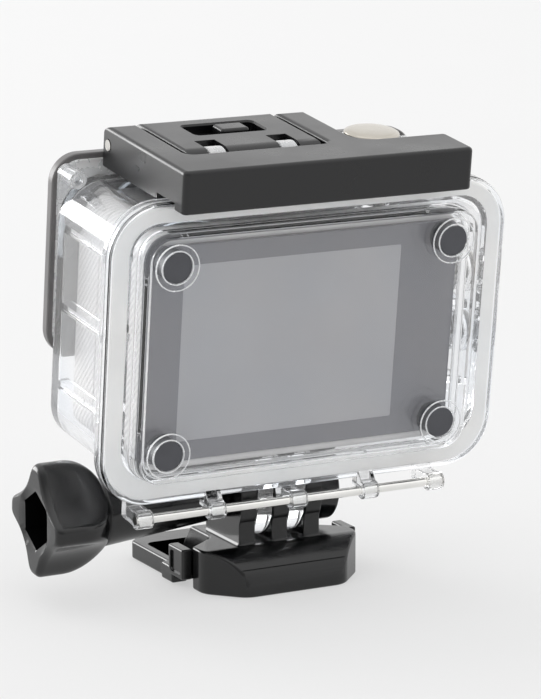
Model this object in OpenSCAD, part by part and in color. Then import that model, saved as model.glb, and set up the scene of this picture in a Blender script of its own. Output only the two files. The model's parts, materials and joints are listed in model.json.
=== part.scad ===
// Action camera in a clear waterproof case, on a quick-release buckle.
// Millimetres. The origin is on the buckle's underside, below the thumb screw's axis.
// +Z is up, the lens faces -Y and the back door faces +Y. The case leans on the screw.

/* [Camera body] */
// Width of the camera body
cam_w = 59.3; // [50:0.1:72]
// Height of the camera body
cam_h = 41.1; // [35:0.1:50]
// Depth of the camera body without its lens
cam_d = 24; // [20:0.1:29]
// Corner radius of the camera body
cam_r = 4; // [2:0.5:6]
// Wall of the camera's covers
cam_wall = 1.4; // [1:0.1:2]
// Diagonal of the screen
screen_diagonal = 51.5; // [38:0.5:54]
// Sideways place of the screen's centre
screen_x = 2.5; // [-3:0.5:3]
// Sideways place of the lens and its port
lens_x = 13.5; // [11:0.5:14]
// Radius of the lens barrel
lens_r = 8.5; // [7:0.1:9]
// How far the lens stands out of the camera
lens_out = 5.3; // [3:0.1:6]

/* [Case] */
// Wall of the clear shell
wall = 2; // [1.6:0.1:2.6]
// Room beside the camera, each side
side_room = 3.75; // [2.8:0.05:5]
// Room above the camera
top_room = 1.65; // [1.4:0.05:3]
// Sideways place of the shell and the rim about the camera
case_x = -1.2; // [-1.8:0.1:0.6]
// Corner radius of the shell
shell_r = 7; // [5:0.5:8]
// How far the rim stands out of the shell at the sides
rim_out = 2.3; // [1.5:0.1:3]
// Corner radius of the rim
rim_r = 9; // [8:0.5:11]
// Thickness of each rim, shell and door
rim_t = 1.85; // [1.5:0.05:2.2]
// How far the shell's back face is behind the screw axis
seam_y = 9; // [8.6:0.1:10]
// How far the door's window block stands out of the rim
block_rise = 3.4; // [2.6:0.1:5]
// Thickness of the window
window_t = 2.2; // [1.6:0.1:2.4]
// Thickness of the front plate
plate_t = 2.2; // [1.6:0.1:3]
// Radius of the door's rubber pads
pad_r = 2.65; // [2:0.05:3.2]

/* [Latch] */
// Width of the lever
lever_w = 25.4; // [21:0.1:29]
// Width of each clasp arm
arm_w = 5.4; // [4:0.1:6]
// Depth of the clasp's rear bar
bar_d = 10; // [9:0.1:11]
// Distance from the lever's pivot to the clasp's pin
throw = 15.5; // [14.5:0.1:18]
// Half thickness of the lever and clasp above their pins
latch_rise = 3.2; // [3:0.1:4]
// Radius of the two latch pins
latch_pin_r = 1; // [0.8:0.05:1.2]
// Slope of the clasp's hook and the door's lip
hook_slope = 46; // [40:1:48]

/* [Buttons] */
// How far each button travels
travel = 0.8; // [0.5:0.05:0.9]
// Radius of the shutter button's cap
shutter_cap_r = 4.85; // [4:0.05:5.5]
// Radius of the power button's cap
power_cap_r = 4.4; // [3.8:0.05:5]
// Radius of the side buttons' caps
side_cap_r = 3; // [2.8:0.05:3.6]

/* [Mount] */
// Height of the thumb screw's axis
screw_z = 15; // [14.6:0.1:18]
// How far the case leans back
lean = 6.8; // [-10:0.1:12]
// Radius of the buckle's prongs
prong_r = 7.5; // [7:0.1:7.6]
// Thickness of the buckle's prongs
prong_t = 3.1; // [2.8:0.1:3.4]
// Radius of the screw
screw_r = 2.5; // [2:0.1:3]
// Radius of the thumb knob over its lobes
knob_r = 10; // [8.5:0.1:10.2]
// Length of the thumb knob's head
knob_head = 11.8; // [9:0.1:15]
// Length of the thumb knob's neck
knob_neck = 23.7; // [23:0.1:29]
// Across flats of the knob's hexagon socket
socket_af = 9; // [7:0.1:9.4]
// Width of the buckle over its block
block_w = 30.4; // [28:0.1:34]
// Width of the buckle over its squeeze tabs
tabs_w = 34.2; // [33.4:0.1:40]
// Length of the buckle in front of the screw axis
buckle_front = 23; // [20:0.5:30]
// Length of the buckle behind the screw axis
buckle_rear = 12.8; // [11:0.1:14]

/* [Hidden] */
$fn = 64;
eps = 0.01;

// Clearances
running = 0.05;      // radial, pin in a turning bore
side_gap = 0.1;      // each side, between neighbouring prongs
free_gap = 0.3;      // between pieces that pass each other
lever_gap = 0.7;     // each side, lever to clasp arm
seam_gap = 0.15;     // shell to door
drop_gap = 0.45;     // camera to the shell's floor
front_room = 0.4;    // camera to the shell's front wall
touch = 0.05;        // between faces that press on each other

// The case is drawn from the screw axis: y is behind it and z is above it.
case_prong_t = prong_t - side_gap;
prong_pitch = (prong_t + case_prong_t) / 2 + side_gap;
fork_half = 2 * prong_pitch + prong_t / 2;
shell_bottom = prong_r + 0.6;
inner_bottom = shell_bottom + wall;
cam_bottom = inner_bottom + drop_gap;
cam_top = cam_bottom + cam_h;
cam_mid = cam_bottom + cam_h / 2;
inner_top = cam_top + top_room;
shell_top = inner_top + wall;
inner_w = cam_w + 2 * side_room;
shell_w = inner_w + 2 * wall;
rim_w = shell_w + 2 * rim_out;
rim_top = shell_top + 2.1;
rim_bottom = shell_bottom - 3.5;
cam_back = seam_y + 1.1;
glass_t = 0.8;
cover_back = cam_back - glass_t;
cam_front = cam_back - cam_d;
cover_split = cover_back - 14.3;
inner_front = cam_front - front_room;
front_wall = wall - 0.1;
shell_front = inner_front - front_wall;
plate_front = shell_front - plate_t;
camera_behind_plate = plate_t + front_wall + front_room;
door_front = seam_y + seam_gap;
rim_back = door_front + rim_t;
block_back = rim_back + block_rise;
recess_back = block_back - window_t;
window_w = cam_w + 3.9;
window_h = cam_h + 2.5;
window_r = 4.5;
boss_rise = 0.4;
pad_x = cam_w / 2 - 3.45;
pad_z = cam_h / 2 - 4.12;
seal_edge = 0.9;     // rim's edge to the seal
seal_in = 0.7;       // seal to the shell's opening

// Screen
screen_w = screen_diagonal * 0.8;
screen_h = screen_diagonal * 0.6;
lcd_edge = 2.4;
lcd_t = 2.5;
board_t = 1.2;

// Door hinge
knuckle_r = 1.6;
hinge_pin_r = 0.8;
hinge_y = rim_back + 1.5;
hinge_z = rim_bottom - 1.6;
knuckle_w = 3;
hinge_left = rim_w / 2 + case_x - 5.7;
hinge_right = -rim_w / 2 + 9.2;
shell_knuckles = [hinge_left - knuckle_w / 2, 0, hinge_right + knuckle_w / 2];
door_knuckles = [15.6, -14];

// Latch
latch_x = rim_w / 2 - 30.25;
latch_z = shell_top + 5.6;
latch_top = latch_z + latch_rise;
barrel_r = 3.1;
lug_r = 3;
lug_w = 3.2;
lug_pitch = 13.5;
arm_in = lever_w / 2 + lever_gap;
clasp_left = latch_x + arm_in + arm_w;
arm_right = latch_x - arm_in - arm_w;
clasp_right = -rim_w / 2 + 9.4;
bar_back = rim_back + 4.88;
bar_front = bar_back - bar_d;
pivot_y = bar_front - barrel_r - 0.5;
pin_y = pivot_y - throw;
arm_front = pin_y - 2.4;
arm_bottom = latch_z - 4.2;
arm_corner = 3;
hook_bottom = rim_top - 0.3;
lip_crest_y = door_front + 0.5;
lip_crest_z = latch_z - 0.3;
lip_back = lip_crest_y + 2.4;
groove_top = lip_crest_z + free_gap;
lip_left = latch_x + arm_in - 1.5;
lip_right = clasp_right + 2.2;
bar_fillet = 3;
slot_y = [pivot_y - 13.3, pivot_y - 6.8];
slot_depth = 1.8;
slider_l = 5.4;
slider_travel = 3.5;
slot_x = [latch_x - 7, latch_x - 7 + slider_l + slider_travel + 4.7];

// Lens and its port
lens_z = cam_top - 10.6;
lens_front = cam_front - lens_out;
port_r = lens_r + 1.7;
port_boss_r = port_r + 3.4;
port_boss_front = lens_front - 0.8;
port_glass_r = port_r + 2;
port_glass_t = 1.9;
port_ring_w = 33;
port_ring_front = port_boss_front - port_glass_t - 0.6;
port_screw_pitch = 26.4;
port_screw_r = 1;
plate_top = shell_top + 3.7;
plate_bottom = inner_bottom + 12.9;
plate_w = shell_w - 0.8;
plate_r = 5;
seat_t = 0.5;
post_r = 1.6;
post_l = 5.7;
post_x = plate_w / 2 - 2.3;
post_z = plate_top - 3;

// Buttons: each is drawn along +Z from its wall's outer face
stem_r = 1.5;
guide_r = 2.5;
clip_t = 0.5;
clip_r = 2.4;
ring_wire = 0.45;
spring_wire = 0.4;
cap_gap = 0.25;
collar_t = 0.5;
side_collar_t = 0.9;
shutter_x = -rim_w / 2 + 20.5;
button_y = 0;
power_x = -cam_w / 2 + 11;
power_z = cam_mid - 1;
up_z = cam_mid + 7;
down_z = cam_mid - 4;
key_out = 0.5;
power_key_out = 0.2;
boss_in = 1.2;
key_r = 2.2;
key_t = 1.6;
// Cap underside, cap top, pocket floor, guide top, stem end, clip seat and spring turns
shutter_dims = [4.4 + travel + 0.9, 8.9, 0.6, 4.4, -wall - top_room + key_out + touch, -wall, 4.5];
power_dims = [-0.3 + travel + 0.7, 2.9, -plate_t, -0.3, -camera_behind_plate + power_key_out + touch,
    -plate_t - 0.85, 2.5];
side_dims = [-0.2 + travel + 0.5, 2.1, -1.4, -0.2, -wall - side_room + case_x + key_out + touch,
    -wall - boss_in, 2.5];

// Mount
prong_half = 6.5;
case_prong_r = prong_r - 0.3;
block_top = screw_z - prong_r + 0.1;
nut_boss_r = 6.2;
nut_boss_t = 4.3;
nut_af = 8;
knob_base = fork_half + 0.3;
// The neck grows with the rim, so that the head stays outside it
neck_l = knob_neck + (rim_w - 75.4) / 2;
neck_end = knob_base + neck_l;
knob_end = neck_end + knob_head;
neck_r0 = 3.6;
neck_r1 = 5.9;
dome_l = 6.8;
dome_r = (pow(knob_r - neck_r1, 2) + pow(dome_l, 2)) / (2 * (knob_r - neck_r1));
socket_depth = 7;
flank_r = 12.5;
flank_in = 6.8;
plate_z = 2.6;
leg_t = 1.8;
leg_h = 3.2;
leg_out = tabs_w / 2 - 1.3;
waist_half = fork_half + 1.5;
block_front = 9.5;
block_round = block_top - 1.3;
plan_x = [waist_half, waist_half, block_w / 2, block_w / 2, block_w / 2 - 5.7];
plan_y = [-block_front - 4, -1.2, 3.2, buckle_rear - 6, buckle_rear];
tab_y = [-2.6, 2.9];
tab_z = [1.7, 7.1];
tab_t = 2;

// ---------- Shared shapes ----------

// Puts a shape drawn from the screw axis in its leaning place
module in_case() translate([0, 0, screw_z]) rotate([-lean, 0, 0]) children();

module rounded(w, h, r) {
    square([w - 2 * r, h], center = true);
    square([w, h - 2 * r], center = true);
    for (x = [-1, 1], z = [-1, 1]) translate([x * (w / 2 - r), z * (h / 2 - r)]) circle(r);
}

// Rounded slab from y0 back to y1, centred at x, z
module slab(w, h, r, y0, y1, x = 0, z = 0)
    translate([x, y1, z]) rotate([90, 0, 0]) linear_extrude(y1 - y0) rounded(w, h, r);

// Slab with its height given by its two ends
module slab_between(w, z0, z1, r, y0, y1, x = 0) slab(w, z1 - z0, r, y0, y1, x, (z0 + z1) / 2);

// A profile in y and z, drawn out from x0 to x1
module across(x0, x1) translate([x0, 0, 0]) rotate([90, 0, 90]) linear_extrude(x1 - x0) children();

module rod_x(r, x0, x1, y = 0, z = 0)
    translate([x0, y, z]) rotate([0, 90, 0]) cylinder(r = r, h = x1 - x0);

module rod_y(r, y0, y1, x = 0, z = 0)
    translate([x, y1, z]) rotate([90, 0, 0]) cylinder(r = r, h = y1 - y0);

module block(x, y, z) translate([x[0], y[0], z[0]]) cube([x[1] - x[0], y[1] - y[0], z[1] - z[0]]);

module at_shutter() translate([shutter_x, button_y, shell_top]) children();
module at_power() translate([power_x, plate_front, power_z]) rotate([90, 0, 0]) children();
module at_side(z) translate([case_x - shell_w / 2, button_y, z]) rotate([0, -90, 0]) children();

// Round wire wound along +Z
module coil(r, h, turns, wire) {
    steps = 14;
    sides = 6;
    last = turns * steps;
    points = [for (i = [0:last], k = [0:sides - 1])
        let (a = 360 * i / steps, b = 360 * k / sides, q = r + wire / 2 * cos(b))
        [q * cos(a), q * sin(a), wire / 2 + (h - wire) * i / last + wire / 2 * sin(b)]];
    faces = concat([[for (k = [0:sides - 1]) k]],
        [for (i = [0:last - 1], k = [0:sides - 1])
            let (a = i * sides + k, b = i * sides + (k + 1) % sides) [a, a + sides, b + sides, b]],
        [[for (k = [sides - 1:-1:0]) last * sides + k]]);
    polyhedron(points = points, faces = faces, convexity = 8);
}

// Round cap on a stem, with the shallow groove of its ring and clip left to those pieces
module plunger(d, cap_r) {
    translate([0, 0, d[0]]) cylinder(r = cap_r, h = d[1] - d[0]);
    difference() {
        translate([0, 0, d[4]]) cylinder(r = stem_r, h = d[0] - d[4] + eps);
        translate([0, 0, ring_z(d)]) rotate_extrude() translate([stem_r, 0]) circle(ring_wire);
        translate([0, 0, d[5] - running - clip_t]) difference() {
            cylinder(r = stem_r + 1, h = clip_t);
            cylinder(r = stem_r - 0.4, h = clip_t);
        }
    }
}

function ring_z(d) = d[3] - ring_wire - 0.6;

module stem_ring(d) translate([0, 0, ring_z(d)]) rotate_extrude() difference() {
    translate([stem_r, 0]) circle(ring_wire);
    translate([stem_r + running - touch / 2, -ring_wire]) square(2 * ring_wire);
}

module stem_clip(d) translate([0, 0, d[5] - running - clip_t]) difference() {
    cylinder(r = clip_r, h = clip_t);
    translate([0, 0, -eps]) cylinder(r = stem_r - 0.4, h = clip_t + 2 * eps);
    translate([0, -0.9, -eps]) cube([clip_r + eps, 1.8, clip_t + 2 * eps]);
}

module button_spring(d) translate([0, 0, d[2] + touch])
    coil(guide_r + spring_wire / 2 + 0.1, d[0] - d[2] - 2 * touch, d[6], spring_wire);

// Room for a cap and its spring around the guide, and the stem's bore through it
module button_well(d, cap_r, inside) {
    difference() {
        translate([0, 0, d[2]]) cylinder(r = cap_r + cap_gap, h = 20);
        translate([0, 0, d[2] - 1]) cylinder(r = guide_r, h = d[3] - d[2] + 1);
    }
    translate([0, 0, -inside]) cylinder(r = stem_r + running, h = 20);
    translate([0, 0, -inside]) cylinder(r = clip_r + 0.3, h = inside + d[5]);
}

// ---------- Mount: buckle, nut, thumb screw ----------

// Outline of the block: wide at the back, with a waist in front that leaves the legs free
module buckle_plan() polygon([for (side = [1, -1], k = [0:4])
    let (i = side > 0 ? k : 4 - k) [side * plan_x[i], plan_y[i]]]);

// Block whose top rounds down to its rear edge and slopes down to the tongue in front
module buckle_block() intersection() {
    linear_extrude(block_top) buckle_plan();
    across(-block_w / 2, block_w / 2) {
        translate([-block_front, 0]) square([block_front + buckle_rear - block_round, block_top]);
        translate([-block_front, 0]) square([block_front + buckle_rear, block_top - block_round]);
        translate([buckle_rear - block_round, block_top - block_round]) circle(block_round);
        polygon([[-block_front, 0], [-block_front, block_top], [-block_front - 4, plate_z],
            [-block_front - 4, 0]]);
    }
}

module buckle_leg(side) {
    x = side * (tabs_w / 2 - 1.3 - leg_t / 2);
    tab_x = side * (tabs_w / 2 - tab_t / 2);
    block([x - leg_t / 2, x + leg_t / 2], [-buckle_front + 3, tab_y[0]], [0, leg_h]);
    block([tab_x - tab_t / 2, tab_x + tab_t / 2], tab_y, tab_z);
    hull() {
        block([x - leg_t / 2, x + leg_t / 2], [tab_y[0] - 3, tab_y[0]], [tab_z[0], leg_h]);
        block([tab_x - tab_t / 2, tab_x + tab_t / 2], [tab_y[0], tab_y[0] + 2], [tab_z[0], leg_h]);
    }
}

module buckle() color([0.13, 0.13, 0.14]) difference() {
    union() {
        buckle_block();
        block([-waist_half, waist_half], [-buckle_front, 0], [0, plate_z]);
        linear_extrude(leg_h) polygon([[-leg_out + 3, -buckle_front], [leg_out - 3, -buckle_front],
            [leg_out, -buckle_front + 3], [leg_out, -buckle_front + 6], [-leg_out, -buckle_front + 6],
            [-leg_out, -buckle_front + 3]]);
        for (side = [-1, 1]) buckle_leg(side);
        for (i = [-1:1]) across(i * 2 * prong_pitch - prong_t / 2, i * 2 * prong_pitch + prong_t / 2) {
            translate([0, screw_z]) circle(prong_r);
            translate([-prong_half, plate_z]) square([2 * prong_half, screw_z - plate_z]);
        }
        rod_x(nut_boss_r, -fork_half - nut_boss_t, -fork_half + eps, 0, screw_z);
    }
    rod_x(screw_r + running, -fork_half - 20, fork_half + 20, 0, screw_z);
    translate([-fork_half - nut_boss_t - eps, 0, screw_z]) rotate([0, 90, 0])
        cylinder(r = (nut_af + 0.1) / sqrt(3), h = nut_boss_t - 0.3, $fn = 6);
}

module captive_nut() color([0.72, 0.72, 0.74]) difference() {
    translate([-fork_half - nut_boss_t, 0, screw_z]) rotate([0, 90, 0])
        cylinder(r = nut_af / sqrt(3), h = nut_boss_t - 0.4, $fn = 6);
    rod_x(screw_r + running, -fork_half - 20, 0, 0, screw_z);
}

module knob_outline() difference() {
    circle(knob_r);
    for (a = [0:3]) rotate(40 + 90 * a) translate([flank_r + flank_in, 0]) circle(flank_r);
}

// Half section of the head, from the neck's end out: an arc up to its full radius
module knob_dome() intersection() {
    square([knob_r, knob_head]);
    union() {
        translate([0, dome_l]) square([knob_r, knob_head]);
        translate([knob_r - dome_r, dome_l]) circle(dome_r);
    }
}

module thumb_knob() color([0.15, 0.15, 0.16]) translate([0, 0, screw_z]) difference() {
    union() {
        translate([knob_base, 0, 0]) rotate([0, 90, 0]) cylinder(r1 = neck_r0, r2 = neck_r1, h = neck_l);
        intersection() {
            across(neck_end - 1, knob_end) knob_outline();
            translate([neck_end, 0, 0]) rotate([0, 90, 0]) union() {
                translate([0, 0, -1]) cylinder(r = neck_r1, h = 1 + eps);
                rotate_extrude() knob_dome();
            }
        }
    }
    translate([knob_end - socket_depth, 0, 0]) rotate([0, 90, 0])
        cylinder(r = socket_af / sqrt(3), h = socket_depth + 1, $fn = 6);
    rod_x(screw_r, knob_base - 1, knob_end - socket_depth - 2);
}

module thumb_screw() color([0.75, 0.75, 0.77])
    rod_x(screw_r, -fork_half - nut_boss_t + 0.3, knob_end - socket_depth - 2, 0, screw_z);

// ---------- Case ----------

module lens_bore(r) rod_y(r, port_ring_front - 5, cover_back - 10, lens_x, lens_z);

module port_screw_places()
    for (x = [-1, 1], z = [-1, 1])
        translate([lens_x + x * port_screw_pitch / 2, 0, lens_z + z * port_screw_pitch / 2]) children();

module lug(x) across(x - lug_w / 2, x + lug_w / 2) {
    translate([pivot_y, latch_z]) circle(lug_r);
    translate([pivot_y - lug_r, shell_top - eps]) square([2 * lug_r, latch_z - shell_top]);
}

module shell_knuckle(x) {
    rod_x(knuckle_r, x - knuckle_w / 2, x + knuckle_w / 2, hinge_y, hinge_z);
    block([x - knuckle_w / 2, x + knuckle_w / 2], [seam_y - rim_t, hinge_y],
        [hinge_z - 1.2, rim_bottom - 0.25]);
    block([x - knuckle_w / 2, x + knuckle_w / 2], [seam_y - rim_t, seam_y],
        [hinge_z - 1.2, rim_bottom + 2]);
}

module case_prong(x) across(x - case_prong_t / 2, x + case_prong_t / 2) {
    circle(case_prong_r);
    translate([-case_prong_r, 0]) square([2 * case_prong_r, shell_bottom + wall / 2]);
}

// Ledge along a side wall that guides the camera in
module side_rib(side, z) block(side > 0 ? [cam_w / 2 + 0.15, case_x + inner_w / 2 + 0.5] :
    [case_x - inner_w / 2 - 0.5, -cam_w / 2 - 0.15], [inner_front - 0.5, inner_front + 19], [z, z + 1.5]);

// Post behind an upper corner of the front plate, on a web from the shell's top
module corner_post(side) {
    rod_y(post_r, shell_front, shell_front + post_l, side * post_x, post_z);
    block([side * post_x - post_r, side * post_x + post_r], [shell_front, shell_front + post_l],
        [shell_top - shell_r, post_z]);
}

module case_shell() color([0.86, 0.9, 0.93, 0.35]) in_case() difference() {
    union() {
        difference() {
            union() {
                slab_between(shell_w, shell_bottom, shell_top, shell_r, shell_front, seam_y - eps, case_x);
                slab_between(rim_w, rim_bottom, rim_top, rim_r, seam_y - rim_t, seam_y, case_x);
                for (x = shell_knuckles) shell_knuckle(x);
                for (side = [-1, 1]) corner_post(side);
                slab_between(plate_w - 2, plate_bottom + 1, plate_top - 1, plate_r - 1, shell_front,
                    shell_front + seat_t);
            }
            slab_between(inner_w, inner_bottom, inner_top, shell_r - wall, inner_front, seam_y + 1, case_x);
            rod_x(prong_r + 0.55, -fork_half - nut_boss_t - 1, fork_half + 1);
        }
        for (side = [-1, 1]) for (z = [cam_mid - 13, cam_mid + 1.1, cam_mid + 15]) side_rib(side, z);
        for (side = [-1, 1]) lug(latch_x + side * lug_pitch / 2);
        for (side = [-1, 1]) case_prong(side * prong_pitch);
        rod_y(port_boss_r, port_boss_front, shell_front + 1, lens_x, lens_z);
        at_shutter() translate([0, 0, -0.5]) cylinder(r = shutter_cap_r + cap_gap + collar_t, h = 7.8);
        at_power() translate([0, 0, -plate_t - 0.5])
            cylinder(r = guide_r, h = plate_t + 0.5 + power_dims[3]);
        for (z = [up_z, down_z]) at_side(z)
            translate([0, 0, -wall - boss_in])
                cylinder(r = side_cap_r + cap_gap + side_collar_t, h = wall + boss_in + 1.6);
    }
    lens_bore(port_r);
    rod_y(port_r + 1.5, port_boss_front - 1, port_boss_front + 0.7, lens_x, lens_z);
    rod_x(screw_r + running, -20, 20);
    rod_x(hinge_pin_r, hinge_right - 5, hinge_left + 5, hinge_y, hinge_z);
    rod_x(latch_pin_r, latch_x - lever_w / 2, latch_x + lever_w / 2, pivot_y, latch_z);
    at_shutter() button_well(shutter_dims, shutter_cap_r, wall);
    at_power() button_well(power_dims, power_cap_r, camera_behind_plate);
    for (z = [up_z, down_z]) at_side(z) button_well(side_dims, side_cap_r, wall + boss_in);
    port_screw_places() rod_y(port_screw_r, plate_front, shell_front + 1.3);
}

module front_plate() color([0.38, 0.38, 0.39]) in_case() difference() {
    slab_between(plate_w, plate_bottom, plate_top, plate_r, plate_front, shell_front);
    lens_bore(port_boss_r + 0.1);
    at_power() translate([0, 0, -plate_t - 1]) cylinder(r = power_cap_r + cap_gap, h = plate_t + 2);
    port_screw_places() rod_y(port_screw_r + 0.1, plate_front - 1, shell_front + 1);
}

module lens_port_ring() color([0.12, 0.12, 0.13]) in_case() difference() {
    slab(port_ring_w, port_ring_w, 7, port_ring_front, plate_front, lens_x, lens_z);
    lens_bore(port_glass_r - 1.2);
    rod_y(port_glass_r + 0.05, port_boss_front - port_glass_t - 0.05, plate_front + 1, lens_x, lens_z);
    rod_y(port_boss_r + 0.05, port_boss_front, plate_front + 1, lens_x, lens_z);
    port_screw_places() {
        rod_y(port_screw_r + 0.1, port_ring_front - 1, plate_front + 1);
        rod_y(2, port_ring_front - 1, port_ring_front + 1.6);
    }
}

module lens_port_glass() color([0.8, 0.85, 0.9, 0.4]) in_case()
    rod_y(port_glass_r, port_boss_front - port_glass_t, port_boss_front - touch, lens_x, lens_z);

module lens_port_seal() color([0.2, 0.2, 0.2]) in_case() difference() {
    rod_y(port_r + 1.45, port_boss_front - touch + 0.01, port_boss_front + 0.65, lens_x, lens_z);
    lens_bore(port_r + 0.1);
}

module port_screws() color([0.7, 0.7, 0.72]) in_case() port_screw_places() {
    difference() {
        rod_y(1.9, port_ring_front + 0.2, port_ring_front + 1.6);
        translate([0, port_ring_front + 1, 0]) rotate([90, 0, 0]) cylinder(r = 0.85, h = 2, $fn = 6);
    }
    rod_y(port_screw_r - 0.02, port_ring_front + 1.5, shell_front + 1.2);
}

// ---------- Door ----------

module door_knuckle(x) {
    rod_x(knuckle_r, x - knuckle_w / 2, x + knuckle_w / 2, hinge_y, hinge_z);
    block([x - knuckle_w / 2, x + knuckle_w / 2], [door_front, hinge_y], [hinge_z, rim_bottom + 1]);
}

module pad_places()
    for (x = [-1, 1], z = [-1, 1]) translate([x * pad_x, 0, cam_mid + z * pad_z]) children();

// Lip that the clasp hooks over: its back slopes down at the hook's own slope
module lip_profile() {
    drop = (lip_back - lip_crest_y) * tan(hook_slope);
    polygon([[door_front, rim_top - 3], [door_front, lip_crest_z], [lip_crest_y, lip_crest_z],
        [lip_back, lip_crest_z - drop], [rim_back, rim_top - 0.6], [rim_back, rim_top - 3]]);
}

// The seal follows the rim outside and the shell's opening inside
module seal_outside(less, y0, y1) slab_between(rim_w - 2 * seal_edge - 2 * less,
    rim_bottom + seal_edge + less, rim_top - seal_edge - less, rim_r - seal_edge, y0, y1, case_x);
module seal_inside(more, y0, y1) slab_between(inner_w + 2 * seal_in + 2 * more, inner_bottom - seal_in - more,
    inner_top + seal_in + more, shell_r - wall + seal_in, y0, y1, case_x);

module back_door() color([0.86, 0.9, 0.93, 0.35]) in_case() difference() {
    union() {
        slab_between(rim_w, rim_bottom, rim_top, rim_r, door_front, rim_back, case_x);
        slab(window_w, window_h, window_r, rim_back - eps, block_back, 0, cam_mid);
        pad_places() rod_y(pad_r + 1.35, block_back - eps, block_back + boss_rise);
        pad_places() rod_y(pad_r + 1, recess_back - 0.8, recess_back + eps);
        across(lip_right, lip_left) lip_profile();
        for (x = door_knuckles) door_knuckle(x);
    }
    difference() {
        slab(cam_w + 1.2, cam_h + 1.2, cam_r, door_front - 1, recess_back, 0, cam_mid);
        pad_places() rod_y(pad_r + 1, recess_back - 0.8, recess_back + 1);
    }
    pad_places() rod_y(pad_r, door_front, block_back + 1);
    difference() {
        seal_outside(0, door_front - 1, door_front + 0.8);
        seal_inside(0, door_front - 2, door_front + 2);
    }
    rod_x(hinge_pin_r + running, hinge_right - 5, hinge_left + 5, hinge_y, hinge_z);
}

module door_seal() color([0.93, 0.93, 0.92]) in_case() difference() {
    seal_outside(0.05, seam_y + 0.02, door_front + 0.8);
    seal_inside(0.05, seam_y - 1, door_front + 2);
}

module door_pads() color([0.25, 0.25, 0.27]) in_case()
    pad_places() rod_y(pad_r, cam_back + touch, block_back + boss_rise - 0.1);

module hinge_pin() color([0.8, 0.8, 0.82]) in_case()
    rod_x(hinge_pin_r, hinge_right, hinge_left, hinge_y, hinge_z);

// ---------- Latch ----------

module latch_lever() color([0.14, 0.14, 0.15]) in_case() difference() {
    union() {
        rod_x(barrel_r, latch_x - lever_w / 2, latch_x + lever_w / 2, pivot_y, latch_z);
        across(latch_x - lever_w / 2, latch_x + lever_w / 2) {
            translate([pin_y, latch_z - latch_rise]) square([throw, 2 * latch_rise - 0.05]);
            translate([pin_y, latch_z]) circle(latch_rise - 0.05);
        }
    }
    for (side = [-1, 1]) translate([latch_x + side * lug_pitch / 2, 0, 0])
        block([-lug_w / 2 - 0.3, lug_w / 2 + 0.3], [pivot_y - lug_r - 0.7, pivot_y + 5],
            [latch_z - 5, latch_z + 5]);
    block(slot_x, slot_y, [latch_top - slot_depth, latch_top + 1]);
    block([slot_x[0] + 2.4, slot_x[1] - 2.4], [slot_y[0] + 2, slot_y[0] + 4.2],
        [latch_z + 1.1, latch_top]);
    rod_x(latch_pin_r + running, clasp_right, clasp_left, pivot_y, latch_z);
    rod_x(latch_pin_r + running, clasp_right, clasp_left, pin_y, latch_z);
}

module latch_pivot_pin() color([0.78, 0.78, 0.8]) in_case()
    rod_x(latch_pin_r, latch_x - lever_w / 2 + 0.5, latch_x + lever_w / 2 - 0.5, pivot_y, latch_z);

module clasp_arm(x0, x1) across(x0, x1) {
    translate([arm_front + arm_corner, latch_top - arm_corner]) circle(arm_corner);
    translate([arm_front + arm_corner, arm_bottom]) square([bar_front - arm_front, latch_top - arm_bottom]);
    translate([arm_front, arm_bottom]) square([arm_corner + eps, latch_top - arm_corner - arm_bottom]);
}

// Hollow under the bar for the shell's rim and the door's lip: its back is the hook
module hook_groove() {
    offset_y = free_gap / sin(hook_slope);
    run = (groove_top - hook_bottom + 1) / tan(hook_slope);
    polygon([[bar_front - 1, hook_bottom - 1], [bar_front - 1, groove_top],
        [lip_crest_y + offset_y, groove_top], [lip_crest_y + offset_y + run, hook_bottom - 1]]);
}

module latch_clasp() color([0.14, 0.14, 0.15]) in_case() difference() {
    union() {
        across(clasp_right, clasp_left)
            translate([bar_front, hook_bottom]) square([bar_d, latch_top - hook_bottom]);
        clasp_arm(arm_right, arm_right + arm_w);
        clasp_arm(clasp_left - arm_w, clasp_left);
        translate([arm_right - bar_fillet, bar_front - bar_fillet, groove_top]) difference() {
            cube([bar_fillet + eps, bar_fillet + eps, latch_top - groove_top]);
            translate([0, 0, -1]) cylinder(r = bar_fillet, h = 10);
        }
    }
    across(clasp_right - 1, latch_x + arm_in) hook_groove();
    across(latch_x + arm_in - eps, clasp_left + 1) polygon([[seam_y - rim_t - 1.2, 0],
        [seam_y - rim_t - 1.2, rim_top + 0.6], [rim_back + 1.6, rim_top + 0.6], [rim_back + 1.6, 0]]);
    rod_x(latch_pin_r, arm_right - 1, clasp_left + 1, pin_y, latch_z);
}

module clasp_pin() color([0.78, 0.78, 0.8]) in_case()
    rod_x(latch_pin_r, arm_right, clasp_left + 0.1, pin_y, latch_z);

module lock_slider() color([0.16, 0.16, 0.17]) in_case() {
    x0 = slot_x[0] + 2.6;
    z0 = latch_top - slot_depth + touch;
    block([x0, x0 + slider_l], [slot_y[0] + 1, slot_y[1] - 1.6], [z0, latch_top + 0.1]);
    block([x0 + 0.6, x0 + slider_l - 0.6], [slot_y[0] + 2.1, slot_y[0] + 4.1], [latch_z + 1.3, z0 + eps]);
}

// ---------- Buttons ----------

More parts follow.
